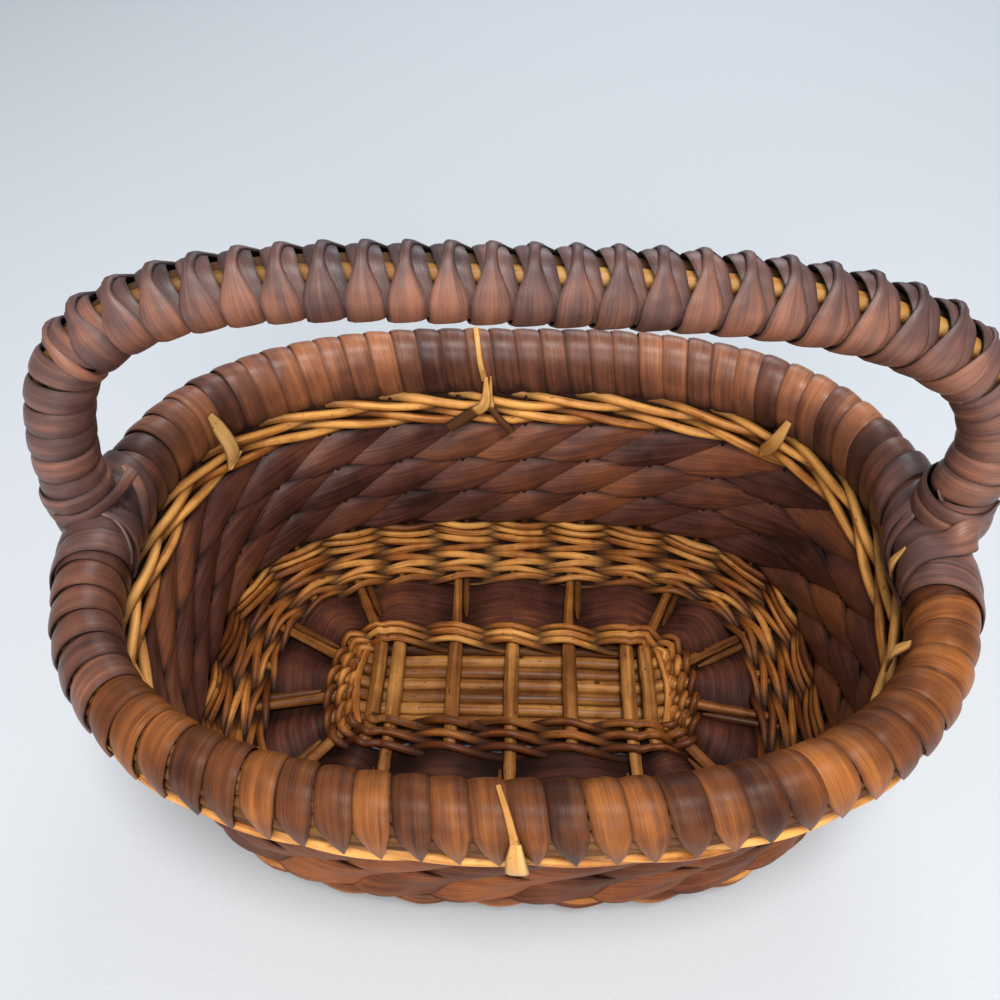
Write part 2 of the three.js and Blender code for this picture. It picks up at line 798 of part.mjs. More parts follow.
// A solid of the boolean library from a closed geometry
function toSolid(geometry) {
  const bare = geometry.clone();
  bare.deleteAttribute('normal');
  bare.deleteAttribute('uv');
  const merged = mergeVertices(bare, 1e-4);
  return new wasm.Manifold(new wasm.Mesh({
    numProp: 3,
    vertProperties: new Float32Array(merged.attributes.position.array),
    triVerts: new Uint32Array(merged.index.array),
  }));
}

function fromSolid(solid) {
  const mesh = solid.getMesh();
  const geometry = new THREE.BufferGeometry();
  geometry.setAttribute('position', new THREE.Float32BufferAttribute(mesh.vertProperties, 3));
  geometry.setIndex(Array.from(mesh.triVerts));
  return geometry;
}

// A lashing is a saddle of splint: it holds the foot of the handle and comes down both sides of the rim
function addLashing(name, rightSide) {
  const endPlace = (rightSide ? 1 : 3) * (stakeCount / 4);
  const { centre } = rimFrame(endPlace);
  const legLength = rightSide ? handleLength - lashingRise : lashingRise;
  const leg = handlePoint(legLength, 0, 0);
  const legRadius = legCoreDiameter / 2 + windingSeat + handleSplintThickness;
  const halfThickness = rimThickness / 2 + lashingThickness;
  const collar = legRadius + lashingThickness;
  const rimEnd = new THREE.Vector3(centre.x, 0, centre.z);
  const levels = [
    [leg, collar, collar],
    [new THREE.Vector3(leg.x, 0, handleFoot), collar, collar],
    [rimEnd.clone().setZ(centre.z + lashingShoulder), halfThickness, lashingHalfWidth],
    [rimEnd.clone().setZ(centre.z - lashingDrop), halfThickness - lashingFlare, lashingHalfWidth - lashingFlare],
  ];
  const sections = levels.map(([middle, halfX, halfY]) => {
    const section = [];
    for (let side = 0; side < spaceSides; side += 1) {
      const angle = (2 * Math.PI * side) / spaceSides;
      const arm = new THREE.Vector3(halfX * Math.cos(angle), halfY * Math.sin(angle), 0);
      section.push(middle.clone().add(arm));
    }
    return section;
  });
  const reach = 1.2;
  const rimHole = [rimThickness / 2 + clearance, rimDepth / 2 + clearance];
  const rimSpace = rimTube(...rimHole, endPlace - reach, endPlace + reach);
  const [first, last] = rightSide ? [handleLength - 2 * lashingRise, handleLength] : [0, 2 * lashingRise];
  const legHole = (legRadius + clearance) * spaceOutside;
  const legSpace = skinSections(handleRings(() => legHole, first, last, spaceSides, 5));
  const saddle = toSolid(skinSections(sections)).subtract(toSolid(rimSpace)).subtract(toSolid(legSpace));
  addPiece(name, fromSolid(saddle), red);
}

// A willow tie: a narrow strip over the rim's winding and down over the pale wale
function addTie({ name, turn, inside }) {
  const lift = clearance + tieThickness / 2;
  const side = inside ? -1 : 1;
  const middle = turn;
  const halfPlace = ((tieWidth / 2) * stakeCount) / rimLine.total;
  const waleOut = stakeRadius + clearance + paleRowThickness + lift;
  const stations = (inside ? [80, 55, 30, 5] : [80, 50, 20, -10, -40, -62]).map((degrees) => {
    const angle = THREE.MathUtils.degToRad(inside ? 180 - degrees : degrees);
    return (place, rise) => {
      const out = lift + rise;
      return rimPoint(place, angle, rimThickness / 2 + out, rimDepth / 2 + out);
    };
  });
  for (const height of [paleTop - 1, wallTop]) {
    stations.push((place, rise) => wallPoint(place, height, side * (waleOut + rise)));
  }
  const sections = stations.map((station) => [
    station(middle - halfPlace, -tieThickness / 2),
    station(middle + halfPlace, -tieThickness / 2),
    station(middle + halfPlace, tieThickness / 2),
    station(middle - halfPlace, tieThickness / 2),
  ]);
  addPiece(name, skinSections(sections), cream);
}

addBaseRods();
addInnerTwining();
addBaseSplint();
addPiece('base_wale_outer', waleRing(outerWaleProfile), gold);
addPiece('base_wale_inner', waleRing(innerWaleProfile), gold);
addStakes();
addWall();
addRimCore();
addRimWinding();
addHandle();
addLashing('handle_lashing_left', false);
addLashing('handle_lashing_right', true);
tiePlaces.forEach(addTie);

// The origin is the middle of the whole basket's footprint, on the floor
const bounds = new THREE.Box3().setFromObject(basket);
const middle = bounds.getCenter(new THREE.Vector3());
basket.position.set(-middle.x, -middle.y, -bounds.min.z);

const model = new THREE.Group();
model.add(basket);
export default model;
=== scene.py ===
import math
import bpy
import numpy as np
from mathutils import Matrix, Vector


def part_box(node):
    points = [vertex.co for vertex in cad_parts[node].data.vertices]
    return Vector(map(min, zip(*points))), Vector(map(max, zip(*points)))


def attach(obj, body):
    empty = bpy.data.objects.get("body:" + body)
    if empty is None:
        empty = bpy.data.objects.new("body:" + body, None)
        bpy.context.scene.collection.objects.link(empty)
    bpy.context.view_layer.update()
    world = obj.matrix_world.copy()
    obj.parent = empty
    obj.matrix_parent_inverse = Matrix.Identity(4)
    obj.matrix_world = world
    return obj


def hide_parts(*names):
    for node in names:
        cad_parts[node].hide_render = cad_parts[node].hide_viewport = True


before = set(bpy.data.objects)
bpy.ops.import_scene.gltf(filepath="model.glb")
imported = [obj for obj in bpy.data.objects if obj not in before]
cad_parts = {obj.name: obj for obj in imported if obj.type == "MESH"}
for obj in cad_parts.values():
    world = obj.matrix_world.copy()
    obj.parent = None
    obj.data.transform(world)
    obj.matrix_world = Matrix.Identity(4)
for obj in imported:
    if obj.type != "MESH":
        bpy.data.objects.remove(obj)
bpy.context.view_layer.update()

MM = 0.001
TAU = 2 * math.pi
UP = np.array([0.0, 0.0, 1.0])
rng = np.random.default_rng(7)

# The stake line: its foot at the floor, and how it flares up to the rim
STAKES = 26
FOOT_LENGTH, FOOT_WIDTH, FOOT_SQUARENESS = 280, 186, 2.94
RIM_LENGTH, RIM_WIDTH, RIM_SQUARENESS = 340, 256, 2.58
RIM_THICKNESS, RIM_DEPTH, RIM_TOP = 23.2, 28.6, 128.7
RIM_END_RISE, END_RISE_POWER = 5, 1.5
STAKE_LINE_INSET = 3.5
FLARE_POWER = 2.19
NEAR_BULGE, BULGE_POWER = 8, 3
RIM_HEIGHT = RIM_TOP - RIM_DEPTH / 2
RIM_HALF_LENGTH = (RIM_LENGTH - RIM_THICKNESS) / 2
RIM_HALF_WIDTH = (RIM_WIDTH - RIM_THICKNESS) / 2

# The crossed rods and the spokes
CROSS_X = np.array([-64.0, -55.0, -27.5, 0.0, 27.5, 55.0, 64.0])
LONG_PITCH, LONG_COUNT = 6.8, 6
LONG_Y = (np.arange(LONG_COUNT) - (LONG_COUNT - 1) / 2) * LONG_PITCH
LONG_RADIUS, LONG_HEIGHT = 3.15, 3.75
CROSS_RADIUS, CROSS_HEIGHT = 3.5, 10.7
LONG_TINTS = [0.68, 0.38, 0.62, 0.36, 0.64, 0.42]
CROSS_TINTS = [0.45, 0.68, 0.5, 0.62, 0.42, 0.6, 0.52]
FAN_X, FAN_Y = 72, 24
SPOKE_TIP_RADIUS, SPOKE_ROOT_RADIUS = 2.2, 3.0
SPOKE_TIP_HEIGHT, LONG_SPOKE_ROOT_HEIGHT = 5.2, 6.0
SPOKE_END_INSET, SPOKE_POINTS, BASE_ROD_STEPS = 15, 7, 110
NODE_PITCH, NODE_SWELL = 46, 0.32

# The weaving of the base
TWINING_ROWS, TWINING_RADIUS = 3, 1.65
TWINING_INSET, TWINING_SIDE_INSET = 3.4, -1.4
TWINING_PITCH, TWINING_NEAR_PITCH = 5.0, 5.7
SPLINT_TUCK, BASE_SPLINT_THICKNESS = 2.8, 1.2
WALE_WIDTH, WALE_TURN_RADIUS, WALE_TOP = 27.5, 18, 26
WALE_ROWS, WALE_PLAIN_ROWS = 8, 3
WALE_STRAND_RADIUS, WALE_REACH = 1.85, 3.45
WALE_LOWEST = -0.35
# Painted shade: how much darker the twining and the base wale get towards the near side
WALE_NEAR_SHADE = 0.66

# The wall
STAKE_RADIUS, STAKE_BESIDE_SPOKE, STAKE_TOP = 2.0, 5, 99
WALL_BOTTOM, WALL_ROW_PITCH, WALL_ROWS = 26.3, 19.6, 3
WALL_REACH, PALE_REACH = 3.6, 5.4
# Painted light: the inside of the wall is lighter towards the far side. Outside it is lighter, partly its own
# tone and partly painted light.
FAR_WALL_LIGHT, OUTER_TONE_AND_LIGHT = 0.1, 0.1
WALL_SKIRT, WALL_SKIRT_LIFT = 2.4, 2.2
TILE_COLUMNS, TILE_ROWS = 15, 9
TILE_SHEAR, TILE_OVERLAP = 0.86, 0.2
TILE_THICKNESS, TILE_CLIMB = 0.6, math.radians(30)
PALE_BOTTOM, PALE_ROW_PITCH, PALE_ROWS, PALE_TWISTS = 85.6, 7.2, 2, 9
# Sheets painted in full shade in the middle of the weave: half their thickness, and how much higher each row
# of the pale wale takes them
SHADE_SHEET_HALF, SHADE_SHEET_RISE = 0.4, 4

# Steps for each stake along the weavers, the splint of the base, the rods of the rim and the sheets of
# painted shade
WEAVER_STEPS, BASE_SPLINT_STEPS, RIM_ROD_STEPS, SHADE_SHEET_STEPS = 14, 16, 10, 6

# The rim. Its redder near side lies between the first two places, and its left end, darkened with a painted
# shade, up to the third. The far side and the left end take a bluer, paler colour, a painted sheen.
RIM_TURNS, RIM_WRAP_GAP, RIM_SLANT = 78, -0.3, 0.75
RIM_BED = 1.5
WRAP_START, TAPER_ANGLE, TIP_ANGLE, WRAP_STEPS = 262, 32, -40, 35
RIGHT_FOOT_PLACE, LEFT_END_PLACE, LEFT_FOOT_PLACE = 6.5, 17.0, 19.3
# Painted shade on the left end of the rim
LEFT_END_SHADE = 0.2
BUNDLE_RODS, BUNDLE_ROD_RADIUS = 14, 2.1

# The handle
HANDLE_SPAN, HANDLE_TOP, HANDLE_SQUARENESS = 333, 221, 3.5
HANDLE_SHIFT, HANDLE_LEAN, HANDLE_SKEW = 4, 13, 0.05
HANDLE_FOOT_OUTSET, HANDLE_FOOT_GAP, HANDLE_TUCK = 6, 0.3, 0.45
HANDLE_FOOT = RIM_TOP + RIM_END_RISE * (2 * RIM_HALF_LENGTH / RIM_LENGTH) ** END_RISE_POWER + HANDLE_FOOT_GAP
LEG_CORE_RADIUS, BOW_CORE_RADIUS, BOW_SWELL = 9.95, 9.6, 2.5
LEG_PITCH, BOW_PITCH, TURN_STEPS = 10, 13.3, 26
LEG_WINDING_THICKNESS = 1.8
BOW_SHEAR, SHEAR_ANGLE = 2.65, math.radians(55)
CROSSING_SPAN, CROSSING_PHASE = 0.68, 0.014
BARE_ANGLE = math.radians(-28)

# Splint: the shade painted across its front and its back, and the bands of the lashings and ties
SPLINT_SHARE = np.linspace(-1, 1, 7)
SPLINT_SHADE = np.array([0.3, 0.85, 1.0, 1.0, 1.0, 0.85, 0.3, 0.0, 0.4, 0.0])
BAND_THICKNESS, BAND_STEPS = 1.2, 44
FOOT_TURN_WIDTH, SADDLE_START, SADDLE_END = 8.6, -30, 205
# Tails of bands: a browner bark tint, a painted shade, and the share of the length over which they fade in
BARK_SHADE, BARK_TINT, BARK_FADE = 0.33, -0.2, 0.08

CAMERA_PLACE = np.array([4.44, -246.68, 388.24])
CAMERA_PITCH, CAMERA_YAW, CAMERA_ROLL = 45.7, -2.05, -0.73
CAMERA_LENS = 33.7


# Points, distances and steps

def unit(vectors):
    return vectors / np.maximum(np.linalg.norm(vectors, axis=-1, keepdims=True), 1e-9)


def mix(a, b, share):
    return a + (b - a) * share


def smooth_step(value, low, high):
    share = np.clip((np.asarray(value, float) - low) / (high - low), 0, 1)
    return share * share * (3 - 2 * share)


def together(*values):
    """Numbers and arrays as arrays of one shape."""
    return np.broadcast_arrays(*(np.asarray(value, float) for value in values))


def join(plan, height):
    """Points from their plan and their height."""
    return np.concatenate([plan, np.broadcast_to(height, plan.shape[:-1])[..., None]], axis=-1)


def distances(points):
    """How far along a row of points each of them lies."""
    return np.concatenate([[0], np.cumsum(np.linalg.norm(np.diff(points, axis=0), axis=-1))])


def sample(points, run, wanted):
    """Points at wanted distances, straight from one to the next."""
    return np.stack([np.interp(wanted, run, column) for column in points.T], axis=-1)


def smooth_through(points, run, wanted):
    """A cubic through points with slopes taken from their neighbours."""
    slope = np.gradient(points, run, axis=0)
    low = np.clip(np.searchsorted(run, wanted, side="right") - 1, 0, len(run) - 2)
    width = (run[low + 1] - run[low])[:, None]
    t = (wanted - run[low])[:, None] / width
    first = (2 * t ** 3 - 3 * t ** 2 + 1) * points[low] + (t ** 3 - 2 * t ** 2 + t) * width * slope[low]
    second = (3 * t ** 2 - 2 * t ** 3) * points[low + 1] + (t ** 3 - t ** 2) * width * slope[low + 1]
    return first + second


def wander(count, cycles, amount, closed=True):
    """A smooth seeded wander along a strand. A closed one has a whole number of cycles, so that it meets."""
    turn = np.linspace(0, TAU, count, endpoint=not closed)
    total = np.zeros(count)
    for step in range(1, 4):
        total += np.sin(turn * cycles * step + rng.uniform(0, TAU)) / step
    return amount * total / 1.5


# Ovals and the stake line. A place counts the stakes clockwise from the middle of the far side.

CELLS, LINE_STEPS = 40, 12


def squared(wave, squareness):
    """A sine or cosine pushed out towards the corners of a rounded rectangle."""
    return np.sign(wave) * np.abs(wave) ** (2 / squareness)


def oval(half_length, half_width, squareness):
    """Points of a rounded rectangle at even steps of its length."""
    angle = np.linspace(0, TAU, 2881)
    x = half_length * squared(np.sin(angle), squareness)
    y = half_width * squared(np.cos(angle), squareness)
    points = np.stack([x, y], axis=-1)
    run = distances(points)
    return sample(points, run, np.linspace(0, run[-1], STAKES * CELLS + 1))


def lookup(table, place):
    """A value at a place, from a table of CELLS values for each stake."""
    cell = np.mod(np.asarray(place, float), STAKES) * CELLS
    low = np.minimum(cell.astype(int), STAKES * CELLS - 1)
    return mix(table[low], table[low + 1], (cell - low)[..., None])


def turning(table):
    """The direction from each cell of a closed table to the next."""
    ring = table[:-1]
    ahead = unit(np.roll(ring, -1, axis=0) - np.roll(ring, 1, axis=0))
    return np.concatenate([ahead, ahead[:1]])


def to_left(along):
    return np.stack([-along[:, 1], along[:, 0]], axis=-1)


def stake_lines():
    lines = []
    for share in np.linspace(0, 1, LINE_STEPS + 1):
        half_length = mix(FOOT_LENGTH / 2, RIM_HALF_LENGTH - STAKE_LINE_INSET, share)
        half_width = mix(FOOT_WIDTH / 2, RIM_HALF_WIDTH - STAKE_LINE_INSET, share)
        lines.append(oval(half_length, half_width, mix(FOOT_SQUARENESS, RIM_SQUARENESS, share)))
    return np.array(lines)


LINES = stake_lines()
STAKE_SPACING = distances(LINES[0])[-1] / STAKES


def stake_plan(place, height):
    """The plan point of the stake line at a place and a height."""
    place, height = together(place, height)
    rise = np.clip(height / RIM_HEIGHT, 0, 1)
    step = rise ** FLARE_POWER * LINE_STEPS
    low = np.minimum(step.astype(int), LINE_STEPS - 1)
    cell = np.mod(place, STAKES) * CELLS
    left = np.minimum(cell.astype(int), STAKES * CELLS - 1)
    part = (cell - left)[..., None]
    lower = mix(LINES[low, left], LINES[low, left + 1], part)
    upper = mix(LINES[low + 1, left], LINES[low + 1, left + 1], part)
    plan = mix(lower, upper, (step - low)[..., None])
    nearness = np.maximum(0, -plan[..., 1] / (FOOT_WIDTH / 2)) ** BULGE_POWER
    plan[..., 1] -= NEAR_BULGE * nearness * (1 - rise ** BULGE_POWER)
    return plan


OUTWARD = to_left(turning(stake_plan(np.arange(STAKES * CELLS + 1) / CELLS, 0)))


def end_rise(x, height):
    share = np.clip((height - WALL_BOTTOM) / (RIM_HEIGHT - WALL_BOTTOM), 0, 1)
    return RIM_END_RISE * share * np.abs(2 * x / RIM_LENGTH) ** END_RISE_POWER


def wall_outward(place):
    return join(unit(lookup(OUTWARD, place)), 0)


def wall_point(place, height, out=0):
    place, height, out = together(place, height, out)
    plan = stake_plan(place, height) + unit(lookup(OUTWARD, place)) * out[..., None]
    return join(plan, height + end_rise(plan[..., 0], height))


def all_round(steps_per_stake):
    """Places at even steps round the basket."""
    return np.arange(STAKES * steps_per_stake) / steps_per_stake


def near_share(place):
    """0 at the middle of the far side, 1 at the middle of the near side."""
    return 0.5 - 0.5 * np.cos(TAU * np.asarray(place) / STAKES)


# The base: where each spoke leaves the crossed rods

def spoke_roots():
    roots = [(x, FAN_Y) for x in CROSS_X[3:]]
    roots += [(FAN_X, y) for y in LONG_Y[::-1]]
    roots += [(x, -FAN_Y) for x in CROSS_X[::-1]]
    roots += [(-FAN_X, y) for y in LONG_Y]
    roots += [(x, FAN_Y) for x in CROSS_X[:3]]
    return np.array(roots + roots[:1], float)


ROOTS = spoke_roots()
IS_CROSS = np.abs(ROOTS[:, 1]) == FAN_Y


def spoke_before(place):
    """The number of the spoke before a place, and the share of the way to the next one."""
    turned = np.mod(np.asarray(place, float), STAKES)
    number = np.minimum(turned.astype(int), STAKES - 1)
    return number, turned - number


def spoke_root(place):
    number, part = spoke_before(place)
    return mix(ROOTS[number], ROOTS[number + 1], part[..., None])


def spoke_length(place):
    return np.linalg.norm(stake_plan(place, 0) - spoke_root(place), axis=-1)


def base_plan(place, inset, height=0):
    """A plan point of the base, inset from the stake line towards the root of its spoke."""
    place, inset, height = together(place, inset, height)
    outer = stake_plan(place, height)
    return outer + (spoke_root(place) - outer) * (inset / spoke_length(place))[..., None]


def inward(place):
    return join(unit(spoke_root(place) - stake_plan(place, 0)), 0)


def spoke_share(place, inset):
    return np.clip((inset - WALE_WIDTH) / (spoke_length(place) - WALE_WIDTH), 0, 1)


def spoke_height(place, inset):
    number, part = spoke_before(place)
    heights = []
    for spoke in (number, number + 1):
        share = spoke_share(spoke, inset)
        cross = mix(SPOKE_TIP_HEIGHT, CROSS_HEIGHT, share ** 2)
        along = mix(SPOKE_TIP_HEIGHT, LONG_SPOKE_ROOT_HEIGHT, share)
        heights.append(np.where(IS_CROSS[spoke], cross, along))
    return mix(*heights, part)


def spoke_radius(place, inset):
    return mix(SPOKE_TIP_RADIUS, SPOKE_ROOT_RADIUS, spoke_share(place, inset))


# The rim and the handle

def rim_tables():
    plan = oval(RIM_HALF_LENGTH, RIM_HALF_WIDTH, RIM_SQUARENESS)
    centre = join(plan, RIM_HEIGHT + end_rise(plan[:, 0], RIM_HEIGHT))
    along = turning(centre)
    out = unit(join(to_left(along), 0))
    return centre, out, unit(np.cross(along, out))


RIM_CENTRE, RIM_OUT, RIM_UP = rim_tables()


def rim_offset(place, out, up):
    """A point of the rim's cross-section, out and up from its centreline."""
    out, up = np.asarray(out, float)[..., None], np.asarray(up, float)[..., None]
    return lookup(RIM_CENTRE, place) + lookup(RIM_OUT, place) * out + lookup(RIM_UP, place) * up


def rim_section(place, out, up, depth=0.0):
    """The same by shares of the section's half thickness and half depth, so far below its surface."""
    return rim_offset(place, (RIM_THICKNESS / 2 - depth) * out, (RIM_DEPTH / 2 - depth) * up)


def handle_tables():
    angle = math.pi * (1 - np.linspace(0, 1, 2401))
    across = squared(np.cos(angle), HANDLE_SQUARENESS)
    rise = squared(np.sin(angle), HANDLE_SQUARENESS)
    tuck = np.maximum(0, 1 - (rise / HANDLE_TUCK) ** 2) ** 2
    bow_x = HANDLE_SHIFT + across * HANDLE_SPAN / 2
    foot_x = np.sign(across) * (RIM_HALF_LENGTH + HANDLE_FOOT_OUTSET)
    height = HANDLE_FOOT + (HANDLE_TOP - HANDLE_FOOT) * rise * (1 - HANDLE_SKEW * across)
    points = np.stack([mix(bow_x, foot_x, tuck), HANDLE_LEAN * rise ** 2, height], axis=-1)
    run = distances(points)
    wanted = np.linspace(0, run[-1], 1601)
    even = sample(points, run, wanted)
    along = unit(np.gradient(even, axis=0))
    far = np.array([0.0, 1.0, 0.0])
    side = unit(far - along * (along @ far)[:, None])
    return wanted, even, side, np.cross(along, side)


HANDLE_RUN, HANDLE_CENTRE, HANDLE_SIDE, HANDLE_OUT = handle_tables()
HANDLE_LENGTH = HANDLE_RUN[-1]
CROSSING_START = HANDLE_LENGTH * (1 - CROSSING_SPAN) / 2


def on_handle(table, length):
    return sample(table, HANDLE_RUN, length)


def handle_point(length, angle, radius):
    """A point round the handle: angle 0 is the outer side of the bow, and a quarter turn its far side."""
    angle, radius = np.asarray(angle, float)[..., None], np.asarray(radius, float)[..., None]
    arm = on_handle(HANDLE_OUT, length) * np.cos(angle) + on_handle(HANDLE_SIDE, length) * np.sin(angle)
    return on_handle(HANDLE_CENTRE, length) + arm * radius


def bow_share(length):
    """0 on the legs, 1 on the bow."""
    from_foot = np.minimum(length, HANDLE_LENGTH - length)
    return smooth_step(from_foot, CROSSING_START * 0.6, CROSSING_START * 1.4)


def core_radius(length):
    """The bow gets thicker from left to right."""
    bow = BOW_CORE_RADIUS + BOW_SWELL * (length / HANDLE_LENGTH - 0.5)
    return mix(LEG_CORE_RADIUS, bow, bow_share(length))


# Meshes made of strands

def frame_offset():
    low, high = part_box("rim_core")
    middle = (low + high) / 2
    return np.array([middle.x, middle.y, 0]) / MM - np.array([0, 0, WALE_LOWEST])


OFFSET = frame_offset()


def add_object(name, data):
    made = bpy.data.objects.new(name, data)
    bpy.context.scene.collection.objects.link(made)
    return made


def closing_run(rings):
    """Mean distances along the first axis of a grid of points, and on to where it closes."""
    return np.append(0, np.cumsum(np.linalg.norm(np.roll(rings, -1, axis=0) - rings, axis=-1).mean(axis=1)))


class Strands:
    """Collects strands, each a row of rings of points, and makes one mesh of them."""

    def __init__(self):
        self.points = []
        self.corners = []
        self.uvs = []
        self.tints = []
        self.shades = []
        self.count = 0

    def add(self, rings, tint, shade, closed=False, climb=0.0):
        """rings is rows x ring points x 3. A closed strand joins its last row to its first. The grain runs
        along the rows, or climbs across them by an angle."""
        rows, sides, _ = rings.shape
        steps = np.arange(rows if closed else rows - 1)
        row, side = (grid.ravel() for grid in np.meshgrid(steps, np.arange(sides), indexing="ij"))
        next_row, next_side = (row + 1) % rows, (side + 1) % sides
        quads = np.stack([row * sides + side, row * sides + next_side,
                          next_row * sides + next_side, next_row * sides + side], axis=-1)
        flat = rings.reshape(-1, 3)
        a, b, c, d = (flat[quads[:, i]] for i in range(4))
        inside_out = np.sum(a * np.cross(b, c)) + np.sum(a * np.cross(c, d)) < 0
        along = closing_run(rings) + rng.uniform(0, 4000)
        across = closing_run(rings.swapaxes(0, 1))
        u = along[np.stack([row, row, row + 1, row + 1], axis=-1)]
        v = across[np.stack([side, side + 1, side + 1, side], axis=-1)]
        turned_u = u * math.cos(climb) + v * math.sin(climb)
        turned_v = v * math.cos(climb) - u * math.sin(climb)
        uv = np.stack([turned_u, turned_v], axis=-1) * MM
        order = -1 if inside_out else 1
        self.points.append(flat)
        self.corners.append(quads[:, ::order] + self.count)
        self.uvs.append(uv[:, ::order])
        self.tints.append(np.broadcast_to(tint, (rows, sides)).ravel())
        self.shades.append(np.broadcast_to(shade, (rows, sides)).ravel())
        if not closed:
            self.add_caps(rows, sides, inside_out)
        self.count += len(flat)

    def add_caps(self, rows, sides, flipped):
        """Closes both ends with a fan of quads and triangles made from the end rings."""
        for start, turned in ((0, not flipped), ((rows - 1) * sides, flipped)):
            for i in range(1, sides - 1, 2):
                quad = [start, start + i, start + i + 1, start + min(i + 2, sides - 1)]
                quad = quad[::-1] if turned else quad
                self.corners.append(np.array([quad]) + self.count)
                self.uvs.append(np.zeros((1, 4, 2)))

    def object(self, name, slot, material, *nodes):
        points = (np.concatenate(self.points) + OFFSET) * MM
        quads = np.concatenate(self.corners)
        mesh = bpy.data.meshes.new(name)
        mesh.vertices.add(len(points))
        mesh.vertices.foreach_set("co", points.ravel())
        mesh.loops.add(quads.size)
        mesh.loops.foreach_set("vertex_index", quads.ravel())
        mesh.polygons.add(len(quads))
        mesh.polygons.foreach_set("loop_start", np.arange(0, quads.size, 4))
        mesh.uv_layers.new(name="strip")
        mesh.uv_layers["strip"].data.foreach_set("uv", np.concatenate(self.uvs).ravel())
        for label, values in (("tint", self.tints), ("shade", self.shades)):
            layer = mesh.attributes.new(label, "FLOAT", "POINT")
            layer.data.foreach_set("value", np.concatenate(values))
        mesh.update(calc_edges=True)
        mesh.validate()
        mesh.polygons.foreach_set("use_smooth", np.ones(len(mesh.polygons), bool))
        mesh.set_sharp_from_angle(angle=math.radians(50))
        mesh.materials.append(material)
        piece = add_object(name, mesh)
        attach(piece, "root")
        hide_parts(*nodes)


def rod_rings(path, radius, hint, sides=9, closed=False):
    """Rings of a round rod along a path. hint is the direction that ring angle 0 faces."""
    if closed:
        along = unit(np.roll(path, -1, axis=0) - np.roll(path, 1, axis=0))
    else:
        along = unit(np.gradient(path, axis=0))
    side = unit(np.cross(along, np.broadcast_to(hint, path.shape)))
    top = np.cross(side, along)
    angle = TAU * np.arange(sides)[:, None] / sides
    radius = np.broadcast_to(radius, (len(path),))[:, None, None]
    return path[:, None] + (top[:, None] * np.cos(angle) + side[:, None] * np.sin(angle)) * radius


def rod_shade(sides, floor, power=1.0):
    """Light on the side that faces the hint, and dark underneath."""
    angle = TAU * np.arange(sides) / sides
    return floor + (1 - floor) * (0.5 + 0.5 * np.cos(angle)) ** power


def add_weaver(strands, path, radius, hint, tint, swing, sides=9, floor=0.1):
    """A closed round strand that swings through the weave: light where it stands out, dark where it dips."""
    rings = rod_rings(path, radius, hint, sides, True)
    facing = np.cos(TAU * np.arange(sides) / sides)
    swing = swing[:, None]
    lit = np.clip(0.2 + 0.62 * swing * facing + 0.38 * np.abs(swing), 0, 1)
    strands.add(rings, np.reshape(tint, (-1, 1)), floor + (1 - floor) * lit, closed=True)


def splint_rings(path, across, normal, width, thickness=1.4, crown=0.35, dome=0.0):
    """Rings of a flat splint with rounded edges: width may change along the path."""
    lift = 1 - crown * np.abs(SPLINT_SHARE) ** 3 + dome * (1 - SPLINT_SHARE ** 2)
    lift[[0, -1]] = 0.45
    lift = np.append(lift, [0, 0, 0])[:, None] * thickness
    share = np.append(SPLINT_SHARE, [0.96, 0.0, -0.96])[:, None]
    half = np.broadcast_to(width / 2, (len(path),))[:, None, None]
    return path[:, None] + across[:, None] * share * half + normal[:, None] * lift


# Materials

BUMP_DEPTH = 0.4 * MM


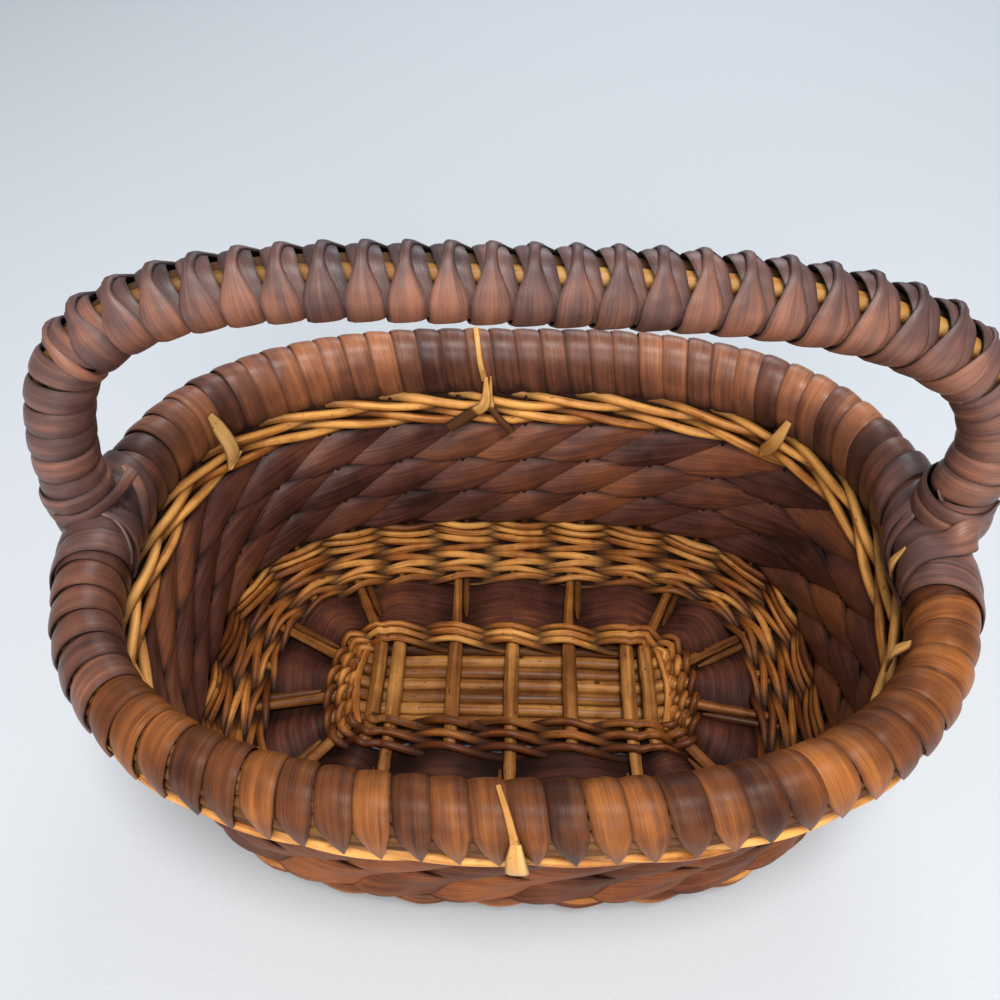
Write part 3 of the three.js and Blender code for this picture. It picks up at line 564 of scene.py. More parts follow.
class Look:
    """A principled material and a few helpers that keep its node code short."""

    def __init__(self, name, sheen):
        self.material = bpy.data.materials.new(name)
        self.material.use_nodes = True
        self.tree = self.material.node_tree
        self.shader = self.tree.nodes["Principled BSDF"]
        self.shader.inputs["Specular IOR Level"].default_value = sheen
        self.strip = self.add("ShaderNodeUVMap", uv_map="strip").outputs["UV"]
        self.place = self.add("ShaderNodeTexCoord").outputs["Object"]
        self.tint = self.add("ShaderNodeAttribute", attribute_name="tint").outputs["Fac"]
        self.shade = self.add("ShaderNodeAttribute", attribute_name="shade").outputs["Fac"]

    def add(self, kind, inputs=(), **settings):
        """A node with its settings, and pairs of an input and what goes into it."""
        made = self.tree.nodes.new(kind)
        for name, value in settings.items():
            setattr(made, name, value)
        self.fill(made, inputs)
        return made

    def fill(self, node, inputs):
        """Links inputs to outputs, or sets them to numbers, vectors, or colours, which are tuples."""
        for key, value in inputs:
            if hasattr(value, "is_linked"):
                self.tree.links.new(value, node.inputs[key])
            else:
                node.inputs[key].default_value = (*value, 1) if isinstance(value, tuple) else value

    def noise(self, along, across, detail, rough, source=None):
        """Noise with so many features to a metre along and across a strand."""
        scale = Vector((along, across, along))
        spot = self.add("ShaderNodeMapping", (("Scale", scale), ("Vector", source or self.strip)))
        inputs = (("Scale", 1), ("Detail", detail), ("Roughness", rough), ("Vector", spot.outputs["Vector"]))
        return self.add("ShaderNodeTexNoise", inputs).outputs["Fac"]

    def ramp(self, source, *stops):
        made = self.add("ShaderNodeValToRGB", [("Fac", source)])
        line = made.color_ramp
        while len(line.elements) < len(stops):
            line.elements.new(0.5)
        for element, (position, colour) in zip(line.elements, stops):
            element.position = position
            element.color = (*colour, 1)
        return made.outputs["Color"]

    def mix(self, share, first, second, blend="MIX"):
        inputs = ((0, share), (6, first), (7, second))
        return self.add("ShaderNodeMix", inputs, data_type="RGBA", blend_type=blend).outputs[2]

    def math(self, operation, first, second):
        return self.add("ShaderNodeMath", ((0, first), (1, second)), operation=operation).outputs[0]

    def sum(self, first, first_share, second, second_share):
        return self.math("ADD", self.math("MULTIPLY", first, first_share),
                         self.math("MULTIPLY", second, second_share))

    def remap(self, source, low, high, to_low=0.0, to_high=1.0):
        inputs = (("Value", source), ("From Min", low), ("From Max", high), ("To Min", to_low),
                  ("To Max", to_high))
        return self.add("ShaderNodeMapRange", inputs).outputs["Result"]

    def colour(self, streak, streak_reach, patch_size, patch_reach, colours):
        """The colour of a strand's tint, with streaks along the strand and patches across the basket."""
        tone = self.math("ADD", self.tint, self.remap(streak, 0.3, 0.7, -streak_reach, streak_reach))
        patch = self.noise(patch_size, patch_size, 3, 0.6, self.place)
        tone = self.math("ADD", tone, self.remap(patch, 0.3, 0.7, -patch_reach, patch_reach))
        return self.ramp(tone, *zip((0.0, 0.5, 1.0), colours))

    def roughness(self, source, low, high):
        """Roughness that changes along a strand. Where the shade attribute paints shade, it is rough
        throughout.
        """
        crevice = self.remap(self.shade, 0.0, 0.8, 0.95, 0.0)
        return self.math("MAXIMUM", self.remap(source, 0.3, 0.7, low, high), crevice)

    def finish(self, colour, roughness, height, strength):
        inputs = (("Strength", strength), ("Distance", BUMP_DEPTH), ("Height", height))
        normal = self.add("ShaderNodeBump", inputs).outputs["Normal"]
        self.fill(self.shader, (("Base Color", colour), ("Roughness", roughness), ("Normal", normal)))
        return self.material


def splint_look(name, low, middle, high, edge, gloss, sheen, grain_depth=0.35):
    """Stained splint: a colour for each strand, long fine grain and worn patches, and a painted shade in the
    edge colour wherever the shade attribute falls, as at its edges and back.
    """
    look = Look(name, sheen)
    grain = look.noise(45, 1900, 4, 0.7)
    fine = look.noise(160, 5200, 2, 0.6)
    streak = look.noise(14, 330, 3, 0.55)
    colour = look.colour(streak, 0.22, 34, 0.28, (low, middle, high))
    dark_grain = look.remap(grain, 0.35, 0.62, 1 - grain_depth, 1.05)
    colour = look.mix(1.0, colour, look.ramp(dark_grain, (0.0, (0, 0, 0)), (1.0, (1, 1, 1))), "MULTIPLY")
    # Painted shade: the edge colour where the shade attribute falls
    colour = look.mix(look.remap(look.shade, 0.0, 0.7), edge, colour)
    roughness = look.roughness(fine, gloss - 0.07, gloss + 0.1)
    return look.finish(colour, roughness, look.sum(grain, 0.7, fine, 0.3), 0.35)


def willow_look(name, low, middle, high, crevice, flecks):
    """Willow rod: bark tones along the rod, dark flecks and rings, and a painted shade in the crevice colour
    wherever the shade attribute falls.
    """
    look = Look(name, 0.25)
    stripe = look.noise(16, 420, 3, 0.55)
    grain = look.noise(120, 2300, 3, 0.65)
    colour = look.colour(stripe, 0.3, 46, 0.25, (low, middle, high))
    spot = look.remap(look.noise(230, 620, 2, 0.5), 0.66, 0.72, 0.0, flecks)
    ring = look.remap(look.noise(95, 12, 1, 0.4), 0.70, 0.73, 0.0, flecks)
    colour = look.mix(ring, look.mix(spot, colour, crevice), crevice)
    # Painted shade: the crevice colour where the shade attribute falls
    colour = look.mix(look.remap(look.shade, 0.15, 0.8), crevice, colour)
    roughness = look.roughness(stripe, 0.34, 0.54)
    return look.finish(colour, roughness, look.sum(grain, 0.6, spot, -0.8), 0.3)


RED_SPLINT = splint_look("red_splint", (0.058, 0.019, 0.011), (0.185, 0.059, 0.019), (0.44, 0.150, 0.036),
                         (0.012, 0.005, 0.004), 0.37, 0.17)
# A bluer, paler copy of the rim's colour for the far side and the left end: a painted sheen
PAINTED_SHEEN_SPLINT = splint_look("painted_sheen_splint", (0.070, 0.028, 0.022), (0.215, 0.083, 0.050), (0.48, 0.180, 0.075),
                          (0.014, 0.007, 0.006), 0.37, 0.4)
# Handle: its purple-grey colour is partly its own and partly a painted sheen of the bluish surroundings
BOW_SPLINT = splint_look("bow_splint", (0.062, 0.034, 0.034), (0.157, 0.076, 0.063), (0.40, 0.165, 0.098),
                         (0.014, 0.008, 0.008), 0.40, 0.45)
DARK_SPLINT = splint_look("dark_splint", (0.046, 0.018, 0.015), (0.180, 0.067, 0.049), (0.39, 0.134, 0.055),
                          (0.009, 0.004, 0.003), 0.34, 0.45, 0.55)
BASE_SPLINT = splint_look("base_splint", (0.042, 0.015, 0.012), (0.155, 0.053, 0.034), (0.35, 0.110, 0.036),
                          (0.009, 0.004, 0.003), 0.5, 0.08, 0.55)
# Outer face of the wall: redder and warmer, partly its own colour and partly a painted warm bounce light
WARM_SPLINT = splint_look("warm_splint", (0.055, 0.018, 0.010), (0.200, 0.060, 0.024), (0.42, 0.130, 0.035),
                          (0.009, 0.004, 0.003), 0.45, 0.12, 0.55)
GOLD_WILLOW = willow_look("gold_willow", (0.12, 0.032, 0.008), (0.41, 0.140, 0.027), (0.92, 0.45, 0.115),
                          (0.022, 0.008, 0.004), 0.7)
HONEY_WILLOW = willow_look("honey_willow", (0.085, 0.025, 0.007), (0.27, 0.098, 0.022), (0.60, 0.28, 0.07),
                           (0.026, 0.010, 0.005), 0.85)
PALE_WILLOW = willow_look("pale_willow", (0.34, 0.13, 0.03), (0.60, 0.28, 0.068), (0.82, 0.49, 0.17),
                          (0.045, 0.020, 0.012), 0.6)


# The base

def node_bulges(run, radius):
    """Swellings of a rod's radius where its leaves grew."""
    swell = np.zeros_like(run)
    place = rng.uniform(0, NODE_PITCH)
    while place < run[-1]:
        swell += NODE_SWELL * np.exp(-((run - place) / (0.75 * radius)) ** 2)
        place += NODE_PITCH * rng.uniform(0.6, 1.3)
    return swell


def bent_rod(points, radii, steps):
    """A smooth path through a few points, its radii, and the distances along it."""
    run = distances(points)
    wanted = np.linspace(0, run[-1], steps)
    return smooth_through(points, run, wanted), np.interp(wanted, run, radii), wanted


def spoke_points(number):
    insets = np.linspace(SPOKE_END_INSET, spoke_length(number) - 1, SPOKE_POINTS)
    number = np.full(SPOKE_POINTS, number)
    return join(base_plan(number, insets), spoke_height(number, insets)), spoke_radius(number, insets)


def make_base_rod(name, start, end, middle, radius, tint):
    """A rod from the tip of one spoke over the middle of the base to the tip of another, above the floor."""
    first, first_radii = spoke_points(start)
    last, last_radii = spoke_points(end)
    points = np.concatenate([first, middle, last[::-1]])
    radii = np.concatenate([first_radii, np.full(len(middle), radius), last_radii[::-1]])
    path, radii, run = bent_rod(points, radii, BASE_ROD_STEPS)
    path[:, 2] = np.maximum(path[:, 2], radius)
    path[:, :2] += np.stack([wander(len(run), 1.3, 0.25, False), wander(len(run), 1.6, 0.25, False)], axis=-1)
    strands = Strands()
    strands.add(rod_rings(path, radii + node_bulges(run, radius), UP, 12), tint, rod_shade(12, 0.12, 1.1))
    strands.object(f"rod_{name}", "willow_rod", HONEY_WILLOW, f"base_rod_{name}")


def make_base_rods():
    for i in range(LONG_COUNT):
        middle = [(x, LONG_Y[-1 - i], LONG_HEIGHT) for x in (-67.5, -34, 0, 34, 67.5)]
        make_base_rod(f"long_{i + 1}", 22 - i, 4 + i, middle, LONG_RADIUS, LONG_TINTS[i])
    for i, x in enumerate(CROSS_X):
        middle = [(x, y, CROSS_HEIGHT) for y in (20, 10, 0, -10, -20)]
        make_base_rod(f"cross_{i + 1}", (i - 3) % STAKES, STAKES // 2 + 3 - i, middle, CROSS_RADIUS,
                      CROSS_TINTS[i])


def sharp_swing(phase, sharpness):
    """From 1 to -1 and back over a turn: a cosine that leans towards a zigzag."""
    zigzag = 2 / math.pi * np.arcsin(np.cos(phase))
    return mix(np.cos(phase), zigzag, sharpness)


def twining_units(place):
    """Counts the spokes at a place, where a pair of cross rods counts as one."""
    units = place.copy()
    for first in (2, 10, 15, 23):
        units -= smooth_step(place, first, first + 1)
    return units


def twining_inset(place):
    """The twining lies close to the long rods at the sides, and farther out at the ends."""
    at_side = smooth_step(np.interp(place, np.arange(STAKES + 1), IS_CROSS), 0, 1)
    return mix(TWINING_INSET, TWINING_SIDE_INSET, at_side)


def twining_pitch(place):
    return mix(TWINING_PITCH, TWINING_NEAR_PITCH, near_share(place))


def make_inner_twining():
    strands = Strands()
    place = all_round(WEAVER_STEPS)
    near = near_share(place)
    for row in range(TWINING_ROWS):
        for half in range(2):
            phase = math.pi * (twining_units(place) + half + row)
            thickness = TWINING_RADIUS * rng.uniform(0.94, 1.1) * (1 + 0.12 * near)
            inset = spoke_length(place) - twining_inset(place) - twining_pitch(place) * row
            inset += wander(len(place), 3, 0.35)
            swing = sharp_swing(phase, 0.4)
            height = spoke_height(place, inset) + (spoke_radius(place, inset) + thickness * 0.95) * swing
            height = np.maximum(height, 1.15 * thickness + WALE_LOWEST)
            path = join(base_plan(place, inset + 1.4 * np.sin(phase)), height)
            radius = thickness * (1 + wander(len(place), 9, 0.06))
            # Painted shade towards the near side
            tint = rng.uniform(0.35, 0.8) - 0.8 * WALE_NEAR_SHADE * near
            add_weaver(strands, path, radius, UP, tint, swing)
    add_bowed_rods(strands)
    strands.object("inner_twining", "willow_golden", GOLD_WILLOW, "base_inner_twining")


def add_bowed_rods(strands):
    """A shaded rod under the twining along each side, and a thin one bowed over the long rods at each end."""
    for end in (-1, 1):
        path = join(np.stack([np.linspace(-66, 66, 60), np.full(60, end * 23.1)], axis=-1), 4.6)
        strands.add(rod_rings(path, 3.1 + wander(60, 2, 0.1, False), UP), 0.3, 0.35)
        share = np.linspace(-1, 1, 40)
        x = end * (73.6 - 3.4 * share ** 2)
        height = LONG_HEIGHT + LONG_RADIUS + 1.9 + 0.6 * (1 - share ** 2)
        path = np.stack([x, share * 22, height], axis=-1)
        strands.add(rod_rings(path, 1.9 + wander(40, 2, 0.12, False), UP), 0.45, rod_shade(9, 0.4))


def make_base_splint():
    strands = Strands()
    place = all_round(BASE_SPLINT_STEPS)
    near = near_share(place)
    twined = twining_inset(place) + (TWINING_ROWS - 1) * twining_pitch(place) + 1.6 * TWINING_RADIUS
    inner = spoke_length(place) - twined + SPLINT_TUCK
    swing = np.cos(math.pi * place)
    rows = []
    for share in np.linspace(0, 1, 9):
        inset = mix(WALE_WIDTH - SPLINT_TUCK, inner, share)
        reach = spoke_radius(place, inset) + 0.9
        sag = -0.5 * (2 * share - 1) ** 2
        rows.append(join(base_plan(place, inset), spoke_height(place, inset) + swing * reach + sag))
    top = np.stack(rows, axis=1)
    bottom = top[:, ::-1] - UP * BASE_SPLINT_THICKNESS
    # Painted light and shade: the band is darker at its edges, on its back and towards the near side, lighter
    # where it rises over a spoke and darker where it dips
    edge = np.array([0.1, 0.7, 1, 1, 1, 1, 1, 0.7, 0.1])
    tint = 0.36 - 0.2 * near + 0.08 * swing
    lit = mix(0.4, 1, smooth_step(swing, -0.9, 0.7)) * (1 - 0.5 * near)
    shade = np.concatenate([edge, edge * 0.5]) * lit[:, None]
    strands.add(np.concatenate([top, bottom], axis=1), tint[:, None], shade, closed=True)
    strands.object("base_band", "splint_dark", BASE_SPLINT, "base_splint")


def wale_station(place, run):
    """A point of the turn-up at a distance along its profile, and its inward normal."""
    flat = WALE_WIDTH - WALE_TURN_RADIUS
    turn = WALE_TURN_RADIUS
    angle = np.clip((run - flat) / turn, 0, math.pi / 2)
    beyond = np.maximum(run - flat - turn * math.pi / 2, 0)
    before = np.maximum(flat - run, 0)
    inset = turn - turn * np.sin(angle) + before
    height = SPOKE_TIP_HEIGHT + turn - turn * np.cos(angle) + beyond
    point = join(base_plan(place, inset, height), height)
    return point, unit(inward(place) * np.sin(angle)[..., None] + UP * np.cos(angle)[..., None])


def make_base_wale():
    """Pairs of twisted strands. The plain rows at the top twist one way and the rows below take turns."""
    strands = Strands()
    place = all_round(WEAVER_STEPS)
    steps = len(place)
    straight = WALE_WIDTH - WALE_TURN_RADIUS + WALE_TOP - SPOKE_TIP_HEIGHT - WALE_TURN_RADIUS
    length = straight + WALE_TURN_RADIUS * math.pi / 2
    edge = WALE_STRAND_RADIUS + 1
    # Painted shade towards the near side
    painted_near_shade = WALE_NEAR_SHADE * near_share(place) ** 0.5
    for row in range(WALE_ROWS):
        plain = row >= WALE_ROWS - WALE_PLAIN_ROWS
        middle = mix(edge, length - edge, row / (WALE_ROWS - 1))
        hand = -1 if plain else (-1) ** row
        for half in range(2):
            phase = math.pi * (place - 0.1 + half + row)
            run = middle + hand * 1.15 * np.sin(phase) + wander(steps, 5, 0.35)
            point, normal = wale_station(place, run)
            radius = WALE_STRAND_RADIUS * rng.uniform(0.92, 1.1) * (1 + wander(steps, 11, 0.07))
            swing = sharp_swing(phase, 0.2 if plain else 0.55)
            tint = rng.uniform(0.56, 1.01) + wander(steps, 4, 0.12) - painted_near_shade
            add_weaver(strands, point + normal * (WALE_REACH * swing)[:, None], radius, normal, tint, swing)
    # A sheet of painted shade in the middle of the wale
    stations = [wale_station(all_round(SHADE_SHEET_STEPS), run) for run in np.linspace(1, length, 12)]
    front = [point + normal * SHADE_SHEET_HALF for point, normal in stations]
    back = [point - normal * SHADE_SHEET_HALF for point, normal in stations]
    add_shade_sheet(strands, front + back[::-1])
    strands.object("base_wale", "willow_golden", GOLD_WILLOW, "base_wale_outer", "base_wale_inner")


def add_shade_sheet(strands, sides):
    """A thin band in the plane of the spokes and stakes, painted in full shade, so that no light shows
    through the weave.
    """
    strands.add(np.stack(sides, axis=1), 0.2, 0.0, closed=True)


# The wall

def stake_place(number):
    return number + STAKE_BESIDE_SPOKE / STAKE_SPACING


def make_stakes():
    """Each stake lies beside its spoke, turns up with the wale and stands in the wall, where painted shade
    darkens it.
    """
    strands = Strands()
    for k in range(STAKES):
        along = unit(stake_plan(k, 0) - spoke_root(k))
        beside = np.array([along[1], -along[0], 0]) * (STAKE_BESIDE_SPOKE - 0.6)
        reach = spoke_length(k) - TWINING_INSET - 3 * TWINING_PITCH
        insets = np.linspace(reach, 20, 5)
        numbers = np.full(5, k)
        floor = join(base_plan(numbers, insets), spoke_height(numbers, insets)) + beside
        floor[:, 2] -= 0.3
        turn, _ = wale_station(np.full(3, k), np.array([16.0, 24.0, 31.0]))
        wall = wall_point(stake_place(k), np.linspace(SPOKE_TIP_HEIGHT + WALE_TURN_RADIUS, STAKE_TOP, 8))
        points = np.concatenate([floor, turn + beside, wall])
        radii = np.full(len(points), STAKE_RADIUS * 0.9)
        radii[0] = 0.7
        path, radii, _ = bent_rod(points, radii, 60)
        # Painted shade: lit on its inner side, and dark in the wall above the wale
        shade = rod_shade(8, 0.5) * mix(1, 0.15, smooth_step(path[:, 2], WALE_TOP - 4, WALE_TOP + 2))[:, None]
        strands.add(rod_rings(path, radii, inward(k), 8), rng.uniform(0.1, 0.4), shade)
    nodes = [f"side_stake_{k + 1:02d}" for k in range(STAKES)]
    strands.object("stakes", "willow_golden", HONEY_WILLOW, *nodes)


def wall_tile(strands, number, row, face):
    """The visible stretch of one splint on a face of the wall, 1 inside and -1 outside: a slanting, domed
    patch that tucks under the patch on its left and lies over the one on its right."""
    u = np.linspace(-0.5 - TILE_OVERLAP, 0.5 + TILE_OVERLAP * 0.6, TILE_COLUMNS)[:, None]
    v = np.linspace(-1, 1, TILE_ROWS)[None]
    half = WALL_ROW_PITCH / 2
    middle = WALL_BOTTOM + row * WALL_ROW_PITCH + half
    place = stake_place(number) + face * (u + TILE_SHEAR * v / 2 + rng.uniform(-0.03, 0.03) * (1 - v ** 2))
    height = middle + half * v * (1.04 + 0.05 * np.cos(math.pi * u) - 0.12 * u ** 2)
    dome = 0.85 * WALL_REACH * np.cos(math.pi * np.clip(u, -0.62, 0.62)) + 0.9
    tuck = 1.6 * smooth_step(-u, 0.28, 0.66) - 1.15 * smooth_step(u, 0.2, 0.56)
    out = np.maximum(dome - tuck - 0.9 * np.abs(v) ** 4 + rng.uniform(-0.15, 0.15), 0.75)
    tint = 0.45 + (0.06 if (number + row) % 2 else -0.06) + rng.uniform(-0.24, 0.24)
    # Inside, painted light towards the far side; outside, a lighter tone that is partly painted light
    tint += FAR_WALL_LIGHT * (1 - near_share(number)) if face > 0 else OUTER_TONE_AND_LIGHT
    if face < 0 and row == 0:
        skirt = smooth_step(-v, 0.2, 0.9)
        height = height - WALL_SKIRT * skirt
        out = out + WALL_SKIRT_LIFT * skirt
    front = wall_point(place, height, -face * out)
    back = wall_point(place, height, -face * (out - TILE_THICKNESS))
    # Painted shade: dark where the patch tucks under on its left, darker at its right end and along its top
    # and bottom edges, and darker still on its back
    sides = np.minimum(smooth_step(u, -0.62, -0.42), 0.25 + 0.75 * smooth_step(-u, -0.57, -0.5))
    shade = sides * (1 - 0.8 * np.abs(v) ** 5)
    rings = np.concatenate([front, back[:, ::-1]], axis=1)
    strands.add(rings, tint, np.concatenate([shade, shade * 0.3], axis=1), climb=TILE_CLIMB)


def add_wall_shade_sheet(strands, bottom, top):
    # A sheet of painted shade in the middle of the wall, between two heights
    corners = ((bottom, 1), (top, 1), (top, -1), (bottom, -1))
    place = all_round(SHADE_SHEET_STEPS)
    add_shade_sheet(strands, [wall_point(place, height, side * SHADE_SHEET_HALF) for height, side in corners])


def make_wall():
    for row in range(WALL_ROWS):
        inside, outside = Strands(), Strands()
        for number in range(STAKES):
            wall_tile(inside, number, row, 1)
            wall_tile(outside, number, row, -1)
        bottom = WALL_BOTTOM + row * WALL_ROW_PITCH
        add_wall_shade_sheet(inside, bottom - 0.5, bottom + WALL_ROW_PITCH)
        inside.object(f"wall_inside_{row + 1}", "splint_dark", DARK_SPLINT, f"wall_splint_{row + 1}")
        outside.object(f"wall_outside_{row + 1}", "splint_dark", WARM_SPLINT, f"wall_splint_{row + 1}")


def make_pale_wale():
    place = all_round(WEAVER_STEPS)
    steps = len(place)
    facing = unit(wall_outward(place) + UP * 0.2)
    half = PALE_ROW_PITCH / 2
    for row in range(PALE_ROWS):
        strands = Strands()
        middle = PALE_BOTTOM + PALE_ROW_PITCH * (row + 0.5)
        for third in range(3):
            phase = TAU * (PALE_TWISTS * place / STAKES + third / 3 + row * 0.17)
            swing = np.cos(phase)
            height = middle + 2.2 * np.sin(phase) + wander(steps, 5, 0.3)
            radius = 2.15 * rng.uniform(0.95, 1.08) * (1 + wander(steps, 9, 0.1))
            tint = rng.uniform(0.65, 1.05) + wander(steps, 4, 0.12) - 0.16 * (1 - near_share(place)) ** 2
            add_weaver(strands, wall_point(place, height, 3.4 * swing), radius, facing, tint, swing, 10, 0.2)
        add_wall_shade_sheet(strands, middle - half, middle + half + SHADE_SHEET_RISE * row)
        strands.object(f"pale_rods_{row + 1}", "willow_golden", GOLD_WILLOW, f"pale_wale_{row + 1}")


# The rim

def rim_wrap(middle):
    """The way of one wrap, from inside below, over the top and down outside to its tip: points, the way that
    it faces, and its width as a share."""
    tip = TIP_ANGLE + rng.uniform(-5, 4)
    degrees = np.linspace(WRAP_START, tip, WRAP_STEPS)
    angles = np.radians(degrees)
    place = middle - RIM_SLANT * STAKES / RIM_TURNS * (np.linspace(0, 1, len(angles)) - 0.5)
    out = np.cos(np.where(angles < 0, 0.5 * angles, angles))
    out = np.where(degrees > 180, -np.cos(0.55 * (angles - math.pi)), out)
    up = np.sin(angles) - 0.2 * smooth_step(degrees, 220, WRAP_START)
    points = rim_section(place, out, up, RIM_BED)
    along_rim = np.cross(lookup(RIM_OUT, place), lookup(RIM_UP, place))
    facing = unit(np.cross(along_rim, np.gradient(points, axis=0)))
    taper = np.clip((degrees - tip) / (TAPER_ANGLE - tip), 0.03, 1)
    return points, facing, taper ** 0.8


def make_rim_winding():
    """The far side and the left end of the rim take a bluer, paler colour than the redder near side, a
    painted sheen, and the left end a painted shade as well.
    """
    near, far = Strands(), Strands()
    full_width = distances(RIM_CENTRE)[-1] / RIM_TURNS - RIM_WRAP_GAP
    for turn in range(RIM_TURNS):
        middle = (turn + 0.5 + rng.uniform(-0.04, 0.04)) * STAKES / RIM_TURNS
        points, facing, share = rim_wrap(middle)
        across = unit(np.cross(facing, np.gradient(points, axis=0)))
        width = full_width * share * rng.uniform(0.97, 1.04)
        tilt = rng.uniform(0.03, 0.11)
        rings = splint_rings(points, unit(across + facing * tilt), facing, width, crown=0.3, dome=0.12)
        # Painted shade: each wrap is darker low on the inside of the rim, in its tint and its shade
        from_inside = smooth_step(np.linspace(0, 1, len(points)), 0.02, 0.24)[:, None]
        tint = np.clip(0.5 + 0.17 * rng.standard_normal(), 0.1, 0.95) + 0.1 * (from_inside - 1)
        # Painted shade on the left end
        if LEFT_END_PLACE < middle < LEFT_FOOT_PLACE:
            tint -= LEFT_END_SHADE
        strands = near if RIGHT_FOOT_PLACE < middle < LEFT_END_PLACE else far
        strands.add(rings, tint, SPLINT_SHADE * (0.35 + 0.65 * from_inside))
    near.object("rim_wraps_near", "splint_red_brown", RED_SPLINT, "rim_winding")
    far.object("rim_wraps_far", "splint_red_brown", PAINTED_SHEEN_SPLINT, "rim_winding")


def make_rim_rods():
    """The bundle of rods under the winding, and the twisted row that shows between and below its tips."""
    strands = Strands()
    place = all_round(RIM_ROD_STEPS)
    steps = len(place)
    facing = lookup(RIM_OUT, place)
    for i in range(BUNDLE_RODS):
        angle = TAU * i / BUNDLE_RODS + wander(steps, 3, 0.04)
        path = rim_section(place, np.cos(angle), np.sin(angle), RIM_BED + BUNDLE_ROD_RADIUS)
        rings = rod_rings(path, BUNDLE_ROD_RADIUS, facing, 8, True)
        # Painted shade: the bundle rods are dark where they show between the tips of the wraps
        strands.add(rings, rng.uniform(0.4, 0.8), 0.32, closed=True)
    for third in range(3):
        phase = TAU * (PALE_TWISTS * place / STAKES + third / 3)
        swing = np.cos(phase)
        path = rim_offset(place, 6.7 + 1.6 * swing, -10.6 + 2.0 * np.sin(phase))
        radius = 1.9 * (1 + wander(steps, 9, 0.1))
        add_weaver(strands, path, radius, facing, rng.uniform(0.6, 0.95), swing, 10, 0.2)
    strands.object("rim_rods", "willow_golden", GOLD_WILLOW, "rim_core")


# The handle

def handle_turns():
    """How many turns of winding lie between the foot and each length along the handle."""
    rate = 1 / mix(LEG_PITCH, BOW_PITCH, bow_share(HANDLE_RUN))
    return np.append(0, np.cumsum((rate[1:] + rate[:-1]) / 2 * np.diff(HANDLE_RUN)))


TURNS = handle_turns()


def winding_path(hand, phase, first):
    """Turns, lengths and angles of a winding that starts and ends the same length from both feet."""
    first_turn, last_turn = np.interp([first, HANDLE_LENGTH - first], HANDLE_RUN, TURNS)
    turn = np.linspace(first_turn, last_turn, int((last_turn - first_turn) * TURN_STEPS))
    return turn, np.interp(turn, TURNS, HANDLE_RUN), hand * TAU * (turn - phase)


def degrees_from(angle, middle):
    """How many degrees an angle lies from a middle, from 0 to 180."""
    return np.abs(np.mod(np.degrees(angle) - middle + 180, 360) - 180)


def lay_winding(name, node, length, angle, lift, width, tilt, tint):
    """A splint round the handle. On the bow both windings lean along it on their way round."""
    length = length - BOW_SHEAR * np.sin(angle + SHEAR_ANGLE) * bow_share(length)
    centre = handle_point(length, angle, lift)
    normal = unit(centre - on_handle(HANDLE_CENTRE, length))
    across = unit(np.cross(normal, np.gradient(centre, axis=0)))
    rings = splint_rings(centre, unit(across + normal * tilt), normal, width, 1.45, 0.35, 0.1)
    strands = Strands()
    strands.add(rings, tint[:, None], SPLINT_SHADE)
    strands.object(name, "splint_red_brown", BOW_SPLINT, node)


def each_turn(turn, amount):
    """A random offset for every turn of a winding."""
    offsets = rng.uniform(-amount, amount, int(turn[-1]) + 3)
    return offsets[np.round(turn).astype(int)]


def make_handle_rods():
    """The bundle in the handle. Its rods are dark with painted shade, all but the one that lies under the
    gaps of the windings, which is pale and darker towards the left end.
    """
    strands = Strands()
    length = np.linspace(0, HANDLE_LENGTH, 150)
    core = core_radius(length)
    pale = mix(0.34, 0.6, smooth_step(length / HANDLE_LENGTH, 0.25, 0.6))[:, None]
    for i in range(7):
        angle = np.full(150, BARE_ANGLE + TAU * i / 6)
        path = handle_point(length, angle, 0 if i == 6 else core * 0.64)
        # Painted shade on the hidden rods; the bare one is lit, darker towards the left end
        strands.add(rod_rings(path, core * 0.355, (0, 0.01, 1)), 0.55, 0.2 if i else pale)
    strands.object("handle_rods", "willow_pale", PALE_WILLOW, "handle_core")


def make_inner_winding():
    """The winding from foot to foot. On the bow it arches over the outer side."""
    turn, length, angle = winding_path(-1, 0.0, LEG_PITCH / 2)
    bow = bow_share(length)
    arch = 1 - smooth_step(degrees_from(angle, 0), 14, 70)
    width = mix(LEG_PITCH + 0.3, 7.8 + 2.8 * arch, bow)
    lift = core_radius(length) + 0.4 + 1.0 * bow * arch
    # Painted light: lighter on the near side of the handle, darker on its far side; a random tone for each
    # turn
    tint = 0.41 - 0.08 * bow + 0.12 * np.cos(angle + 1.8) + each_turn(turn, 0.14)
    lay_winding("handle_inner_splint", "handle_winding", length, angle, lift, width, -0.02, tint)


def make_outer_winding():
    """The winding that crosses over the other one on the bow, narrow on the outer side and at both ends."""
    turn, length, angle = winding_path(1, CROSSING_PHASE, CROSSING_START - 8)
    from_apex = degrees_from(angle, -5)
    to_end = np.clip(np.minimum(length - length[0], length[-1] - length) / 14, 0.12, 1)
    width = mix(3.6, 12.6, smooth_step(from_apex, 10, 85)) * to_end
    lift = core_radius(length) + (1.9 + 1.4 * (1 - smooth_step(from_apex, 8, 48))) * mix(0.3, 1, to_end)
    # Painted light: lighter on the near side of the handle, darker on its far side; a random tone for each
    # turn
    tint = 0.42 + 0.36 * np.cos(angle + 2.0) + each_turn(turn, 0.16)
    lay_winding("handle_outer_splint", "handle_cross_winding", length, angle, lift, width, 0.1, tint)


# The lashings at the feet of the handle, and the ties over the rim. A band goes through rows of a function
# for a point and the way that it faces, the two measures of its place there, the lift and the width. A row
# without a function lies on the rim.

